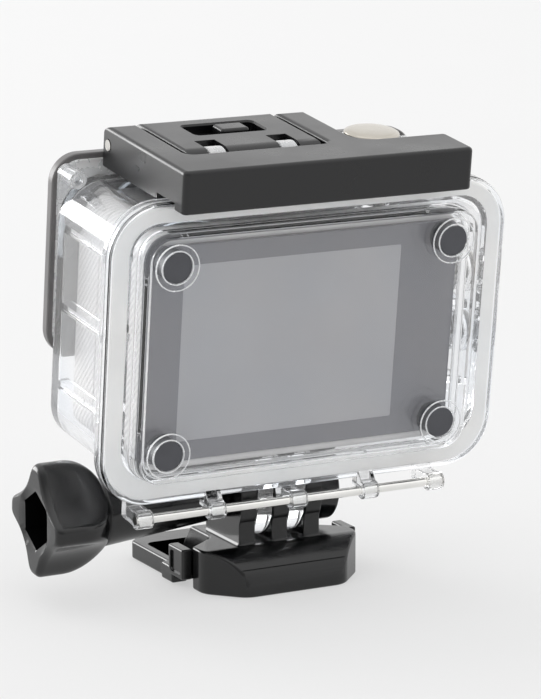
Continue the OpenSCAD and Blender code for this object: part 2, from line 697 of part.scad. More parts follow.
module shutter_plunger() color([0.8, 0.78, 0.74]) in_case()
    at_shutter() plunger(shutter_dims, shutter_cap_r);
module shutter_spring() color([0.7, 0.7, 0.7]) in_case() at_shutter() button_spring(shutter_dims);
module shutter_oring() color([0.1, 0.1, 0.1]) in_case() at_shutter() stem_ring(shutter_dims);
module shutter_clip() color([0.7, 0.7, 0.7]) in_case() at_shutter() stem_clip(shutter_dims);
module power_plunger() color([0.8, 0.78, 0.74]) in_case() at_power() plunger(power_dims, power_cap_r);
module power_spring() color([0.7, 0.7, 0.7]) in_case() at_power() button_spring(power_dims);
module power_oring() color([0.1, 0.1, 0.1]) in_case() at_power() stem_ring(power_dims);
module power_clip() color([0.7, 0.7, 0.7]) in_case() at_power() stem_clip(power_dims);
module up_plunger() color([0.8, 0.78, 0.74]) in_case() at_side(up_z) plunger(side_dims, side_cap_r);
module up_spring() color([0.7, 0.7, 0.7]) in_case() at_side(up_z) button_spring(side_dims);
module up_oring() color([0.1, 0.1, 0.1]) in_case() at_side(up_z) stem_ring(side_dims);
module up_clip() color([0.7, 0.7, 0.7]) in_case() at_side(up_z) stem_clip(side_dims);
module down_plunger() color([0.8, 0.78, 0.74]) in_case() at_side(down_z) plunger(side_dims, side_cap_r);
module down_spring() color([0.7, 0.7, 0.7]) in_case() at_side(down_z) button_spring(side_dims);
module down_oring() color([0.1, 0.1, 0.1]) in_case() at_side(down_z) stem_ring(side_dims);
module down_clip() color([0.7, 0.7, 0.7]) in_case() at_side(down_z) stem_clip(side_dims);

// ---------- Camera ----------

// A camera key drawn along +Z from the camera's surface, and its hole
module key(out) translate([0, 0, out - key_t]) cylinder(r = key_r, h = key_t);
module key_hole() translate([0, 0, -4]) cylinder(r = key_r + 0.15, h = 8);
module on_top() translate([shutter_x, button_y, cam_top]) children();
module on_front() translate([power_x, cam_front, power_z]) rotate([90, 0, 0]) children();
module on_side(z) translate([-cam_w / 2, button_y, z]) rotate([0, -90, 0]) children();

battery_w = 29.4;
battery_h = 33;
battery_d = 9.6;
battery_x = -cam_w / 2 + cam_wall + 1;
battery_y = cover_back - 17;
battery_z = cam_bottom + 2.2;
hatch_t = 1.3;
hatch_gap = 0.15;

module battery_opening(gap) block([battery_x - gap, battery_x + battery_w + gap],
    [battery_y - gap, battery_y + battery_d + gap], [cam_bottom - 1, cam_bottom + hatch_t + 0.5]);

module camera_holes() {
    on_top() key_hole();
    on_front() key_hole();
    on_side(up_z) key_hole();
    on_side(down_z) key_hole();
    battery_opening(hatch_gap);
}

module camera_front_cover() color([0.62, 0.61, 0.6]) in_case() difference() {
    slab(cam_w, cam_h, cam_r, cam_front, cover_split, 0, cam_mid);
    slab(cam_w - 2 * cam_wall, cam_h - 2 * cam_wall, cam_r - cam_wall, cam_front + cam_wall,
        cover_split + 1, 0, cam_mid);
    rod_y(lens_r + 0.05, cam_front - 1, cover_split, lens_x, lens_z);
    camera_holes();
}

module camera_rear_cover() color([0.66, 0.65, 0.64]) in_case() difference() {
    slab(cam_w, cam_h, cam_r, cover_split, cover_back, 0, cam_mid);
    slab(cam_w - 2 * cam_wall, cam_h - 2 * cam_wall, cam_r - cam_wall, cover_split - 1,
        cover_back - cam_wall, 0, cam_mid);
    slab(screen_w + 0.6, screen_h + 0.6, 0.5, cover_back - cam_wall - 1, cover_back + 1, screen_x, cam_mid);
    camera_holes();
}

module screen_glass() color([0.3, 0.3, 0.32]) in_case()
    slab(cam_w - 0.9, cam_h - 3.1, 2, cover_back, cam_back, 0, cam_mid);

module lcd_panel() color([0.65, 0.65, 0.66]) in_case() difference() {
    union() {
        slab(screen_w, screen_h, 0.4, cover_back - cam_wall - eps, cover_back - touch, screen_x, cam_mid);
        slab(screen_w + 2 * lcd_edge, screen_h + 2 * lcd_edge, 0.6, cover_back - cam_wall - lcd_t,
            cover_back - cam_wall, screen_x, cam_mid);
    }
}

module main_board() color([0.1, 0.35, 0.2]) in_case() {
    y = cover_back - cam_wall - lcd_t - 0.8;
    slab(cam_w - 7, cam_h - 4, 1, y - board_t, y, 0.8, cam_mid);
    block([lens_x - 5, lens_x + 5], [y - board_t - 1, y - board_t + eps], [lens_z - 24, lens_z - 15]);
}

module battery() color([0.2, 0.22, 0.3]) in_case()
    block([battery_x, battery_x + battery_w], [battery_y, battery_y + battery_d],
        [battery_z, battery_z + battery_h - 0.5]);

module battery_door() color([0.6, 0.59, 0.58]) in_case()
    block([battery_x, battery_x + battery_w], [battery_y, battery_y + battery_d],
        [cam_bottom, cam_bottom + hatch_t]);

module lens_barrel() color([0.1, 0.1, 0.1]) in_case() difference() {
    union() {
        rod_y(lens_r, lens_front, cam_front + cam_wall, lens_x, lens_z);
        rod_y(lens_r - 2, cam_front + cam_wall - eps, cover_split + 1, lens_x, lens_z);
    }
    rod_y(lens_r - 3.5, lens_front + 3, cover_split + 2, lens_x, lens_z);
    translate([lens_x, lens_front - eps, lens_z]) rotate([-90, 0, 0])
        cylinder(r1 = lens_r - 1, r2 = lens_r - 2.6, h = 1.6);
    rod_y(lens_r - 2.6, lens_front + 1.5, lens_front + 3 + eps, lens_x, lens_z);
}

module lens_front_glass() color([0.3, 0.35, 0.5]) in_case()
    rod_y(lens_r - 2.65, lens_front + 1.6, lens_front + 3, lens_x, lens_z);

module image_sensor() color([0.15, 0.3, 0.35]) in_case() {
    y = cover_split + 1 + touch;
    slab(16, 15, 0.8, y, y + 1.2, lens_x, lens_z);
    slab(7, 6, 0.3, y - 1.8, y + eps, lens_x, lens_z);
}

module shutter_key() color([0.5, 0.5, 0.5]) in_case() on_top() key(key_out);
module power_key() color([0.5, 0.5, 0.5]) in_case() on_front() key(power_key_out);
module up_key() color([0.5, 0.5, 0.5]) in_case() on_side(up_z) key(key_out);
module down_key() color([0.5, 0.5, 0.5]) in_case() on_side(down_z) key(key_out);

buckle();
captive_nut();
thumb_knob();
thumb_screw();
case_shell();
front_plate();
lens_port_ring();
lens_port_glass();
lens_port_seal();
port_screws();
back_door();
door_seal();
door_pads();
hinge_pin();
latch_lever();
latch_pivot_pin();
latch_clasp();
clasp_pin();
lock_slider();
shutter_plunger();
shutter_spring();
shutter_oring();
shutter_clip();
power_plunger();
power_spring();
power_oring();
power_clip();
up_plunger();
up_spring();
up_oring();
up_clip();
down_plunger();
down_spring();
down_oring();
down_clip();
camera_front_cover();
camera_rear_cover();
screen_glass();
lcd_panel();
main_board();
battery();
battery_door();
lens_barrel();
lens_front_glass();
image_sensor();
shutter_key();
power_key();
up_key();
down_key();
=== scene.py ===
"""Visual model of an action camera in a clear waterproof case on a quick-release buckle.

Every length is in millimetres until a piece is placed, and a placed mesh is in metres.
"""
import json
import logging
import math
from dataclasses import dataclass
from enum import Enum

import bmesh
import bpy
from mathutils import Matrix, Vector


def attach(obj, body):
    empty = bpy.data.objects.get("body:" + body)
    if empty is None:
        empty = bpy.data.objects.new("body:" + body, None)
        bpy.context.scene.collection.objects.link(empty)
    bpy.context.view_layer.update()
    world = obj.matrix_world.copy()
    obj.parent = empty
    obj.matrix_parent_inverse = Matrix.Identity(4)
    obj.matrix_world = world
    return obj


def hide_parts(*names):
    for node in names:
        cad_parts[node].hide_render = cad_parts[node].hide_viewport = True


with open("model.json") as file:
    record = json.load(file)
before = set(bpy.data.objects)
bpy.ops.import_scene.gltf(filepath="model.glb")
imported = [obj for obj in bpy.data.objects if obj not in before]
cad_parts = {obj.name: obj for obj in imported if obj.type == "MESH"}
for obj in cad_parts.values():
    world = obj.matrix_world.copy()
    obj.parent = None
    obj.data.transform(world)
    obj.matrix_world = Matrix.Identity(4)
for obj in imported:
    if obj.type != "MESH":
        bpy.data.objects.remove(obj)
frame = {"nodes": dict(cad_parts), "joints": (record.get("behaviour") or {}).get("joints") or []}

LOG = logging.getLogger("action_camera")
MM = 0.001

Point = tuple[float, float]
Point3 = tuple[float, float, float]
Outline = list[Point]
Ring = tuple[Outline, float]
Object = bpy.types.Object
Material = bpy.types.Material
Tree = bpy.types.NodeTree
Socket = bpy.types.NodeSocket


class Axis(Enum):
    """Direction in which an outline is drawn out."""

    X = "x"
    Y = "y"
    Z = "z"


class Op(Enum):
    """How one solid changes another."""

    JOIN = "UNION"
    CUT = "DIFFERENCE"
    KEEP = "INTERSECT"


# ---------- Outlines ----------


def arc(cx: float, cy: float, r: float, start: float, end: float, steps: int) -> Outline:
    """Returns points on an arc between two angles in degrees, both ends included."""
    angles = [math.radians(start + (end - start) * i / steps) for i in range(steps + 1)]
    return [(cx + r * math.cos(a), cy + r * math.sin(a)) for a in angles]


def disc(r: float, cx: float = 0, cy: float = 0, steps: int = 64) -> Outline:
    """Returns a circle."""
    return arc(cx, cy, r, 0, 360, steps)[:-1]


def hexagon(flats: float, cx: float = 0, cy: float = 0, turn: float = 0) -> Outline:
    """Returns a hexagon by its width across flats."""
    return arc(cx, cy, flats / math.sqrt(3), turn, turn + 360, 6)[:-1]


def rounded_rect(w: float, h: float, r: float, cx: float = 0, cy: float = 0, steps: int = 12) -> Outline:
    """Returns a rectangle with round corners, anticlockwise from its right side."""
    points: Outline = []
    for x, y, start in ((1, 1, 0), (-1, 1, 90), (-1, -1, 180), (1, -1, 270)):
        points += arc(cx + x * (w / 2 - r), cy + y * (h / 2 - r), r, start, start + 90, steps)
    return points


def band(w: float, z: Point, r: float, x: float = 0, steps: int = 16) -> Outline:
    """Returns a rectangle with round corners, centred at x between two heights."""
    return rounded_rect(w, z[1] - z[0], r, x, sum(z) / 2, steps)


def mirrored(half: Outline) -> Outline:
    """Completes the right half of an outline, which runs upwards, with its mirror image."""
    return half + [(-x, y) for x, y in half[::-1]]


def rounded(points: Outline, radii: list[float], steps: int = 8) -> Outline:
    """Rounds a polygon's corners.

    Args:
        points: the corners, anticlockwise.
        radii: one radius for each corner, 0 for a sharp one.
        steps: segments in each arc.

    Returns:
        The rounded outline.
    """
    result: Outline = []
    for i, (corner, r) in enumerate(zip(points, radii)):
        here = Vector(corner)
        back = (Vector(points[i - 1]) - here).normalized()
        ahead = (Vector(points[(i + 1) % len(points)]) - here).normalized()
        half = back.angle(ahead) / 2
        if r == 0 or half > math.radians(89):
            result.append(corner)
            continue
        run = r / math.tan(half)
        centre = here + (back + ahead).normalized() * (r / math.sin(half))
        a = (here + back * run - centre).normalized()
        b = (here + ahead * run - centre).normalized()
        total = a.angle(b)
        for k in range(steps + 1):
            t = k / steps
            mixed = (a * math.sin((1 - t) * total) + b * math.sin(t * total)) / math.sin(total)
            result.append(tuple(centre + mixed * r))
    return result


def grown(outline: Outline, by: float) -> Outline:
    """Moves an anticlockwise outline's points outwards, or inwards where by is negative."""
    result: Outline = []
    for i, point in enumerate(outline):
        here = Vector(point)
        a = here - Vector(outline[i - 1])
        b = Vector(outline[(i + 1) % len(outline)]) - here
        a = a.normalized() if a.length > 1e-9 else b.normalized()
        b = b.normalized() if b.length > 1e-9 else a
        n = Vector((a.y + b.y, -a.x - b.x))
        n = n.normalized() if n.length > 1e-9 else Vector((a.y, -a.x))
        result.append(tuple(here + n * (by / max(0.35, n.dot(Vector((a.y, -a.x)))))))
    return result


def blended(a: Outline, b: Outline, share: float) -> Outline:
    """Returns the outline that lies a share of the way from one outline to its match."""
    return [(p[0] + (q[0] - p[0]) * share, p[1] + (q[1] - p[1]) * share) for p, q in zip(a, b)]


# ---------- Solids ----------


def placed(point: Point, along: float, axis: Axis) -> Point3:
    """Returns an outline point in space, at a distance along the axis."""
    u, v = point
    if axis is Axis.X:
        return (along, u, v)
    return (u, along, v) if axis is Axis.Y else (u, v, along)


def loft(rings: list[Ring], axis: Axis) -> Object:
    """Skins a closed solid through rings with equal numbers of points.

    Args:
        rings: each ring's outline and its place along the axis.
        axis: the direction in which the rings follow each other.

    Returns:
        The solid, with flat ends.
    """
    bm = bmesh.new()
    loops = [[bm.verts.new(placed(p, at, axis)) for p in outline] for outline, at in rings]
    count = len(loops[0])
    for low, high in zip(loops, loops[1:]):
        for i in range(count):
            j = (i + 1) % count
            bm.faces.new((low[i], low[j], high[j], high[i]))
    bm.faces.new(loops[0])
    bm.faces.new(loops[-1])
    bmesh.ops.remove_doubles(bm, verts=bm.verts, dist=1e-5)
    bmesh.ops.recalc_face_normals(bm, faces=bm.faces)
    mesh = bpy.data.meshes.new("solid")
    bm.to_mesh(mesh)
    bm.free()
    solid = bpy.data.objects.new("solid", mesh)
    bpy.context.scene.collection.objects.link(solid)
    return solid


def edge_rings(outline: Outline, at: float, inwards: float, r: float, steps: int) -> list[Ring]:
    """Returns the rings of a rounded edge, from a solid's end face to its full outline.

    Args:
        outline: the full outline.
        at: the end face's place.
        inwards: 1 where the solid lies above the end face, and -1 where it lies below.
        r: the edge's radius.
        steps: segments in the edge.
    """
    angles = [math.pi / 2 * i / steps for i in range(steps + 1)]
    return [(grown(outline, -r * (1 - math.sin(a))), at + inwards * r * (1 - math.cos(a))) for a in angles]


def prism(outline: Outline, axis: Axis, low: float, high: float, edge: float = 0,
          low_edge: float | None = None, steps: int = 4) -> Object:
    """Draws an outline out into a solid with rounded end edges.

    Args:
        outline: the anticlockwise outline.
        axis: the direction of drawing.
        low: the place of one end.
        high: the place of the other end.
        edge: radius of the edge at the high end, and of both where low_edge isn't given.
        low_edge: radius of the edge at the low end.
        steps: segments in each edge.
    """
    low_edge = edge if low_edge is None else low_edge
    start = edge_rings(outline, low, 1, low_edge, steps) if low_edge else [(outline, low)]
    end = edge_rings(outline, high, -1, edge, steps) if edge else [(outline, high)]
    return loft(start + end[::-1], axis)


def rod(axis: Axis, r: float, low: float, high: float, u: float = 0, v: float = 0,
        edge: float = 0, steps: int = 48) -> Object:
    """Makes a cylinder with rounded edges, centred at u, v across its axis."""
    return prism(disc(r, u, v, steps), axis, low, high, edge, steps=3)


def box(x: Point, y: Point, z: Point, edge: float = 0) -> Object:
    """Makes a block from its limits, with all its edges rounded where edge is given."""
    w, h = x[1] - x[0], y[1] - y[0]
    outline = rounded_rect(w, h, max(edge, 0.01), (x[0] + x[1]) / 2, (y[0] + y[1]) / 2, 4 if edge else 1)
    return prism(outline, Axis.Z, z[0], z[1], edge)


def baked(solid: Object) -> Object:
    """Replaces a solid's mesh by its evaluated one and removes its modifiers."""
    graph = bpy.context.evaluated_depsgraph_get()
    mesh = bpy.data.meshes.new_from_object(solid.evaluated_get(graph), depsgraph=graph)
    solid.modifiers.clear()
    solid.data = mesh
    return solid


def carve(solid: Object, *steps: tuple[Op, Object]) -> Object:
    """Joins to and cuts from a solid in order, and uses up the other solids."""
    for op, other in steps:
        cut = solid.modifiers.new("carve", "BOOLEAN")
        cut.operation = op.value
        cut.solver = "MANIFOLD"
        cut.object = other
    baked(solid)
    for _, other in steps:
        bpy.data.objects.remove(other)
    return solid


def joined(solids: list[Object]) -> Object:
    """Unites solids into one."""
    return carve(solids[0], *((Op.JOIN, s) for s in solids[1:]))


def cleaned(solid: Object) -> Object:
    """Merges a solid's flat faces and doubled corners, so that it shades evenly."""
    bm = bmesh.new()
    bm.from_mesh(solid.data)
    bmesh.ops.remove_doubles(bm, verts=bm.verts, dist=1e-4)
    bmesh.ops.dissolve_limit(bm, angle_limit=math.radians(0.5), verts=bm.verts, edges=bm.edges)
    bm.to_mesh(solid.data)
    bm.free()
    return solid


def softened(solid: Object, width: float, angle: float = 40, segments: int = 4) -> Object:
    """Rounds a solid's corners that are sharper than an angle in degrees."""
    cleaned(solid)
    bevel = solid.modifiers.new("edges", "BEVEL")
    bevel.width = width
    bevel.segments = segments
    bevel.limit_method = "ANGLE"
    bevel.angle_limit = math.radians(angle)
    bevel.use_clamp_overlap = False
    bevel.miter_outer = "MITER_ARC"
    return baked(solid)


# ---------- Repeated pieces ----------


@dataclass
class Repeat:
    """A geometry node group that sets copies of one solid at marked places and gives them a material."""

    name: str
    seed: int = 4
    wobble: float = 0.0

    def socket(self, tree: Tree, name: str, kind: str) -> str:
        """Adds a named input to the group and returns its identifier."""
        new = tree.interface.new_socket(name=name, in_out="INPUT", socket_type="NodeSocket" + kind)
        return new.identifier

    def group(self) -> tuple[Tree, dict[str, str]]:
        """Builds the group: marked points, turned copies of the part, one mesh, one material."""
        tree = bpy.data.node_groups.new(self.name, "GeometryNodeTree")
        tree.interface.new_socket(name="Geometry", in_out="OUTPUT", socket_type="NodeSocketGeometry")
        names = {"Places": "Geometry", "Part": "Object", "Finish": "Material", "Turn": "Float", "Seed": "Int"}
        ids = {name: self.socket(tree, name, kind) for name, kind in names.items()}
        given = tree.nodes.new("NodeGroupInput").outputs
        part = tree.nodes.new("GeometryNodeObjectInfo")
        part.transform_space = "ORIGINAL"
        chance = tree.nodes.new("FunctionNodeRandomValue")
        turn = tree.nodes.new("ShaderNodeCombineXYZ")
        copies = tree.nodes.new("GeometryNodeInstanceOnPoints")
        real = tree.nodes.new("GeometryNodeRealizeInstances")
        finish = tree.nodes.new("GeometryNodeSetMaterial")
        result = tree.nodes.new("NodeGroupOutput")
        link = tree.links.new
        link(given["Part"], part.inputs["Object"])
        link(given["Seed"], chance.inputs["Seed"])
        link(given["Turn"], chance.inputs[3])
        link(chance.outputs[1], turn.inputs["Y"])
        link(given["Places"], copies.inputs["Points"])
        link(part.outputs["Geometry"], copies.inputs["Instance"])
        link(turn.outputs["Vector"], copies.inputs["Rotation"])
        link(copies.outputs["Instances"], real.inputs["Geometry"])
        link(real.outputs["Geometry"], finish.inputs["Geometry"])
        link(given["Finish"], finish.inputs["Material"])
        link(finish.outputs["Geometry"], result.inputs["Geometry"])
        return tree, ids

    def set_out(self, part: Object, places: list[Point3], finish: "Finish") -> Object:
        """Puts a copy of a part at each place.

        Args:
            part: the solid to repeat, drawn about the origin; it is used up.
            places: where the copies go, in millimetres.
            finish: the copies' surface.

        Returns:
            All the copies as one solid.
        """
        marks = bpy.data.meshes.new(self.name)
        marks.from_pydata(places, [], [])
        host = bpy.data.objects.new(self.name, marks)
        bpy.context.scene.collection.objects.link(host)
        tree, ids = self.group()
        nodes = host.modifiers.new("copies", "NODES")
        nodes.node_group = tree
        inputs = {"Part": part, "Finish": finish.material(), "Turn": self.wobble, "Seed": self.seed}
        for name, value in inputs.items():
            nodes[ids[name]] = value
        baked(host)
        bpy.data.objects.remove(part)
        return host


# ---------- Placing ----------


def to_metres(lean: Matrix | None = None) -> Matrix:
    """Returns the step from millimetres to the frame's metres, through a leaning place where given."""
    return Matrix.Scale(MM, 4) @ (lean or Matrix.Identity(4))


def case_lean() -> Matrix:
    """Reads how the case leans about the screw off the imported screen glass, in millimetres."""
    glass = frame["nodes"]["screen_glass"].data
    face = max(glass.polygons, key=lambda p: p.area).normal
    lean = math.atan2(face.z, face.y) if face.y > 0 else math.atan2(-face.z, -face.y)
    pivot = next(j for j in frame["joints"] if j["name"] == "case_tilt")["pos_m"]
    return Matrix.Translation(Vector(pivot) / MM) @ Matrix.Rotation(lean, 4, "X")


LEAN = case_lean()


def finish_piece(solid: Object, name: str, body: str, finish: "Finish", nodes: tuple[str, ...] = (),
                 leaning: bool = True, sharp: float = 35) -> Object:
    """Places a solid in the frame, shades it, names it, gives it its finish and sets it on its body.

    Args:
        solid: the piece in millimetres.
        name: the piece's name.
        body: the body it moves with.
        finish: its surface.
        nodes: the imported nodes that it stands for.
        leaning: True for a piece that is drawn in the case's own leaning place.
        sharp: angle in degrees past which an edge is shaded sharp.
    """
    mesh = solid.data
    mesh.transform(to_metres(LEAN if leaning else None))
    mesh.shade_smooth()
    mesh.set_sharp_from_angle(angle=math.radians(sharp))
    even = solid.modifiers.new("even shading", "WEIGHTED_NORMAL")
    even.keep_sharp = True
    even.weight = 80
    baked(solid)
    solid.name = name
    solid.data.name = name
    solid.data.materials.clear()
    solid.data.materials.append(finish.material())
    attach(solid, body)
    if nodes:
        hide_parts(*nodes)
    LOG.info("%s on %s: %d faces", name, body, len(solid.data.polygons))
    return solid


# ---------- Finishes ----------


def linear(code: str) -> tuple[float, float, float, float]:
    """Turns an sRGB hex colour into linear colour."""
    values = [int(code[i:i + 2], 16) / 255 for i in (1, 3, 5)]
    return (*(v / 12.92 if v <= 0.04045 else ((v + 0.055) / 1.055) ** 2.4 for v in values), 1.0)


def add_node(tree: Tree, kind: str, settings: dict | None = None, **links: Socket) -> bpy.types.Node:
    """Adds a node to a tree.

    Args:
        tree: the node tree.
        kind: the node's type, without its ShaderNode prefix.
        settings: attributes and input values by name; an input is named "in:Name" or "in:3".
        links: outputs to join, by input name with underscores for spaces, or i3 for input 3.

    Returns:
        The new node.
    """
    node = tree.nodes.new("ShaderNode" + kind)
    for key, value in (settings or {}).items():
        if key.startswith("in:"):
            name = key[3:]
            node.inputs[int(name) if name.isdigit() else name].default_value = value
        else:
            setattr(node, key, value)
    for key, output in links.items():
        name = key.replace("_", " ")
        target = node.inputs[int(key[1:])] if key[1:].isdigit() and key[0] == "i" else node.inputs[name]
        tree.links.new(output, target)
    return node


@dataclass(frozen=True)
class Finish:
    """A surface: its name says what it is made of and how it was made.

    The grain is the moulding or machining texture, in millimetres across and deep.
    """

    name: str
    slot: str
    colour: str
    shade: str
    roughness: float
    roughness_spread: float = 0.06
    ior: float = 1.5
    metallic: float = 0.0
    grain: float = 0.35
    depth: float = 0.01
    patch: float = 9.0
    coat: float = 0.0
    glow: float = 0.0
    clear: bool = False
    haze: float = 0.0

    def material(self) -> Material:
        """Builds the material once and returns it from then on."""
        made = bpy.data.materials.get(self.name)
        return made or self.build()

    def build(self) -> Material:
        """Makes patches of colour and gloss, and a fine grain, on the surface."""
        material = bpy.data.materials.new(self.name)
        material.use_nodes = True
        tree = material.node_tree
        tree.nodes.clear()
        place = add_node(tree, "TexCoord").outputs["Object"]
        patches = add_node(tree, "TexNoise", {"in:Scale": 1 / (self.patch * MM), "in:Detail": 3.0},
                           Vector=place)
        ramp = add_node(tree, "ValToRGB", None, Fac=patches.outputs["Fac"])
        ramp.color_ramp.elements[0].position, ramp.color_ramp.elements[1].position = 0.35, 0.65
        ramp.color_ramp.elements[0].color = linear(self.shade)
        ramp.color_ramp.elements[1].color = linear(self.colour)
        rough = add_node(tree, "MapRange", {
            "in:From Min": 0.3, "in:From Max": 0.7,
            "in:To Min": max(0.0, self.roughness - self.roughness_spread),
            "in:To Max": self.roughness + self.roughness_spread}, Value=patches.outputs["Fac"])
        bump = self.relief(tree, place)
        shader = add_node(tree, "BsdfPrincipled", {
            "in:IOR": self.ior, "in:Metallic": self.metallic,
            "in:Transmission Weight": 1.0 - self.haze if self.clear else 0.0,
            "in:Coat Weight": self.coat, "in:Coat Roughness": 0.06,
            "in:Emission Color": (1, 1, 1, 1), "in:Emission Strength": self.glow},
            Base_Color=self.tint(tree, place, ramp.outputs["Color"]), Roughness=rough.outputs["Result"],
            Normal=bump)
        surface = self.lamps_through(tree, shader.outputs["BSDF"]) if self.clear else shader.outputs["BSDF"]
        add_node(tree, "OutputMaterial", None, Surface=surface)
        return material

    def lamps_through(self, tree: Tree, surface: Socket) -> Socket:
        """Lets lamps and scattered light straight through a clear wall, so that what is inside is lit."""
        path = add_node(tree, "LightPath")
        through = add_node(tree, "Math", {"operation": "MAXIMUM"}, i0=path.outputs["Is Shadow Ray"],
                           i1=path.outputs["Is Diffuse Ray"])
        bare = add_node(tree, "BsdfTransparent", {"in:Color": (0.96, 0.96, 0.96, 1)})
        mixed = add_node(tree, "MixShader", None, Fac=through.outputs["Value"], i1=surface,
                         i2=bare.outputs["BSDF"])
        return mixed.outputs["Shader"]

    def relief(self, tree: Tree, place: Socket) -> Socket:
        """Returns the bump of the surface's grain."""
        grain = add_node(tree, "TexNoise", {"in:Scale": 1 / (self.grain * MM), "in:Detail": 2.0},
                         Vector=place)
        bump = add_node(tree, "Bump", {"in:Distance": self.depth * MM, "in:Strength": 1.0},
                        Height=grain.outputs["Fac"])
        return bump.outputs["Normal"]

    def tint(self, tree: Tree, place: Socket,
             colour: Socket) -> Socket:
        """Returns the surface's colour; a finish with a print or a pattern changes it, and the hatched finish
        paints shade into its grooves.
        """
        return colour


@dataclass(frozen=True)
class HatchedFinish(Finish):
    """Camera plastic whose sides have a fine diagonal hatch moulded in, with shade painted into its grooves.
    """

    pitch: float = 0.9
    # painted shade: the colour that darkens the hatch's grooves, where shade falls
    groove: str = "#c6c5c6"

    def relief(self, tree: Tree, place: Socket) -> Socket:
        """Returns the bump of crossed diagonal grooves."""
        bump = add_node(tree, "Bump", {"in:Distance": 0.05 * MM, "in:Strength": 1.0},
                        Height=self.hatch(tree, place))
        return bump.outputs["Normal"]

    def hatch(self, tree: Tree, place: Socket) -> Socket:
        """Returns stripes that run at 45 degrees along the camera's side."""
        turned = add_node(tree, "Mapping", {"in:Rotation": (math.radians(45), 0, 0)}, Vector=place)
        wave = add_node(tree, "TexWave", {"bands_direction": "Y", "in:Scale": 0.314 / (self.pitch * MM)},
                        Vector=turned.outputs["Vector"])
        return wave.outputs["Fac"]

    def tint(self, tree: Tree, place: Socket,
             colour: Socket) -> Socket:
        """Paints shade into the grooves by mixing the darker groove colour in along the hatch's low stripes.
        """
        # painted shade in the grooves: the groove colour is mixed in where the stripes are low
        mix = add_node(tree, "Mix", {"data_type": "RGBA", "in:6": linear(self.groove)},
                       Factor=self.hatch(tree, place), i7=colour)
        return mix.outputs[2]


CLEAR_CASE = Finish("Clear moulded polycarbonate", "clear_polycarbonate", "#ffffff", "#fafcff", 0.03, 0.02,
                    1.585, grain=9, depth=0.0012, patch=14, clear=True, haze=0.05)
CLEAR_DOOR = Finish("Clear polished door", "clear_polycarbonate", "#ffffff", "#fbfdff", 0.004, 0.004,
                    1.585, grain=30, depth=0.0004, patch=14, clear=True)
CLEAR_EDGE = Finish("Clear plastic with frosted edges", "clear_polycarbonate", "#ffffff", "#f2f4f6",
                    0.28, 0.1, 1.585, grain=0.4, depth=0.006, patch=2, clear=True, haze=0.55)
PORT_GLASS = Finish("Polished coated port glass", "port_glass", "#f4fbff", "#eef6ff", 0.0, 0.0, 1.52,
                    grain=20, depth=0.0005, clear=True)
BLACK_LATCH = Finish("Black satin moulded ABS", "black_latch", "#0c0c0e", "#09090b", 0.3, 0.05, 1.52,
                     grain=0.28, depth=0.012, patch=12)
BLACK_NYLON = Finish("Black glossy moulded nylon", "black_nylon", "#08090a", "#060708", 0.2, 0.06, 1.53,
                     grain=0.9, depth=0.008, patch=7)
GREY_PLATE = Finish("Grey painted face plate", "grey_plate", "#6d6b6b", "#656464", 0.38, 0.05, 1.5,
                    grain=0.25, depth=0.008)
BLACK_RING = Finish("Black moulded lens ring", "lens_black", "#17181a", "#121315", 0.3, 0.05, 1.53)
STEEL = Finish("Turned stainless steel", "steel", "#cfcdc8", "#c2c0bc", 0.22, 0.06, metallic=1.0,
               grain=0.5, depth=0.004)
BRIGHT_ROD = Finish("Polished bright rod", "steel", "#f3f2ef", "#e9e8e5", 0.14, 0.05, metallic=1.0,
                    grain=0.8, depth=0.002)
SPRING_STEEL = Finish("Drawn spring steel", "spring_steel", "#b9b9ba", "#a9a9ab", 0.28, 0.06, metallic=1.0,
                      grain=0.2, depth=0.004)
SATIN_CAP = Finish("Satin nickel button cap", "satin_metal", "#bdb8af", "#b0aba2", 0.24, 0.05, metallic=1.0,
                   grain=0.3, depth=0.004)
RUBBER_PAD = Finish("Dark grey rubber pad", "rubber_pad", "#4a4b50", "#434449", 0.55, 0.08, 1.5,
                    grain=0.3, depth=0.02, patch=3)
SEAL = Finish("White silicone seal", "silicone_seal", "#fbfbfa", "#f4f4f3", 0.45, 0.08, 1.41, grain=0.5)
BLACK_RUBBER = Finish("Black rubber ring", "black_rubber", "#161616", "#101010", 0.5, 0.08, 1.5)
# the camera plastic's hatch grooves carry painted shade through the groove colour
COVER = HatchedFinish("Silver grey camera plastic", "camera_plastic", "#e2e1e1", "#d8d7d8", 0.4, 0.06, 1.5)
SCREEN = Finish("Grey printed screen glass", "dark_glass", "#6d6d74", "#69696f", 0.04, 0.02, 1.52,
                grain=30, depth=0.0005, patch=40, coat=0.6)
LCD = Finish("Screen under its glass", "lcd", "#a4a4a8", "#9e9ea2", 0.05, 0.02, 1.52,
             grain=30, depth=0.0005, patch=30, coat=0.6)
BOARD = Finish("Green circuit board", "circuit_board", "#1d5c38", "#174a2e", 0.4, 0.1, 1.5, patch=3)
WRAP = Finish("Blue battery wrap", "battery_wrap", "#3b4562", "#333c55", 0.35, 0.06, 1.5)
LENS_GLASS = Finish("Coated lens glass", "lens_glass", "#1d2440", "#161b30", 0.02, 0.01, 1.7, coat=1.0,
                    grain=20, depth=0.0005)


# ---------- Mount ----------


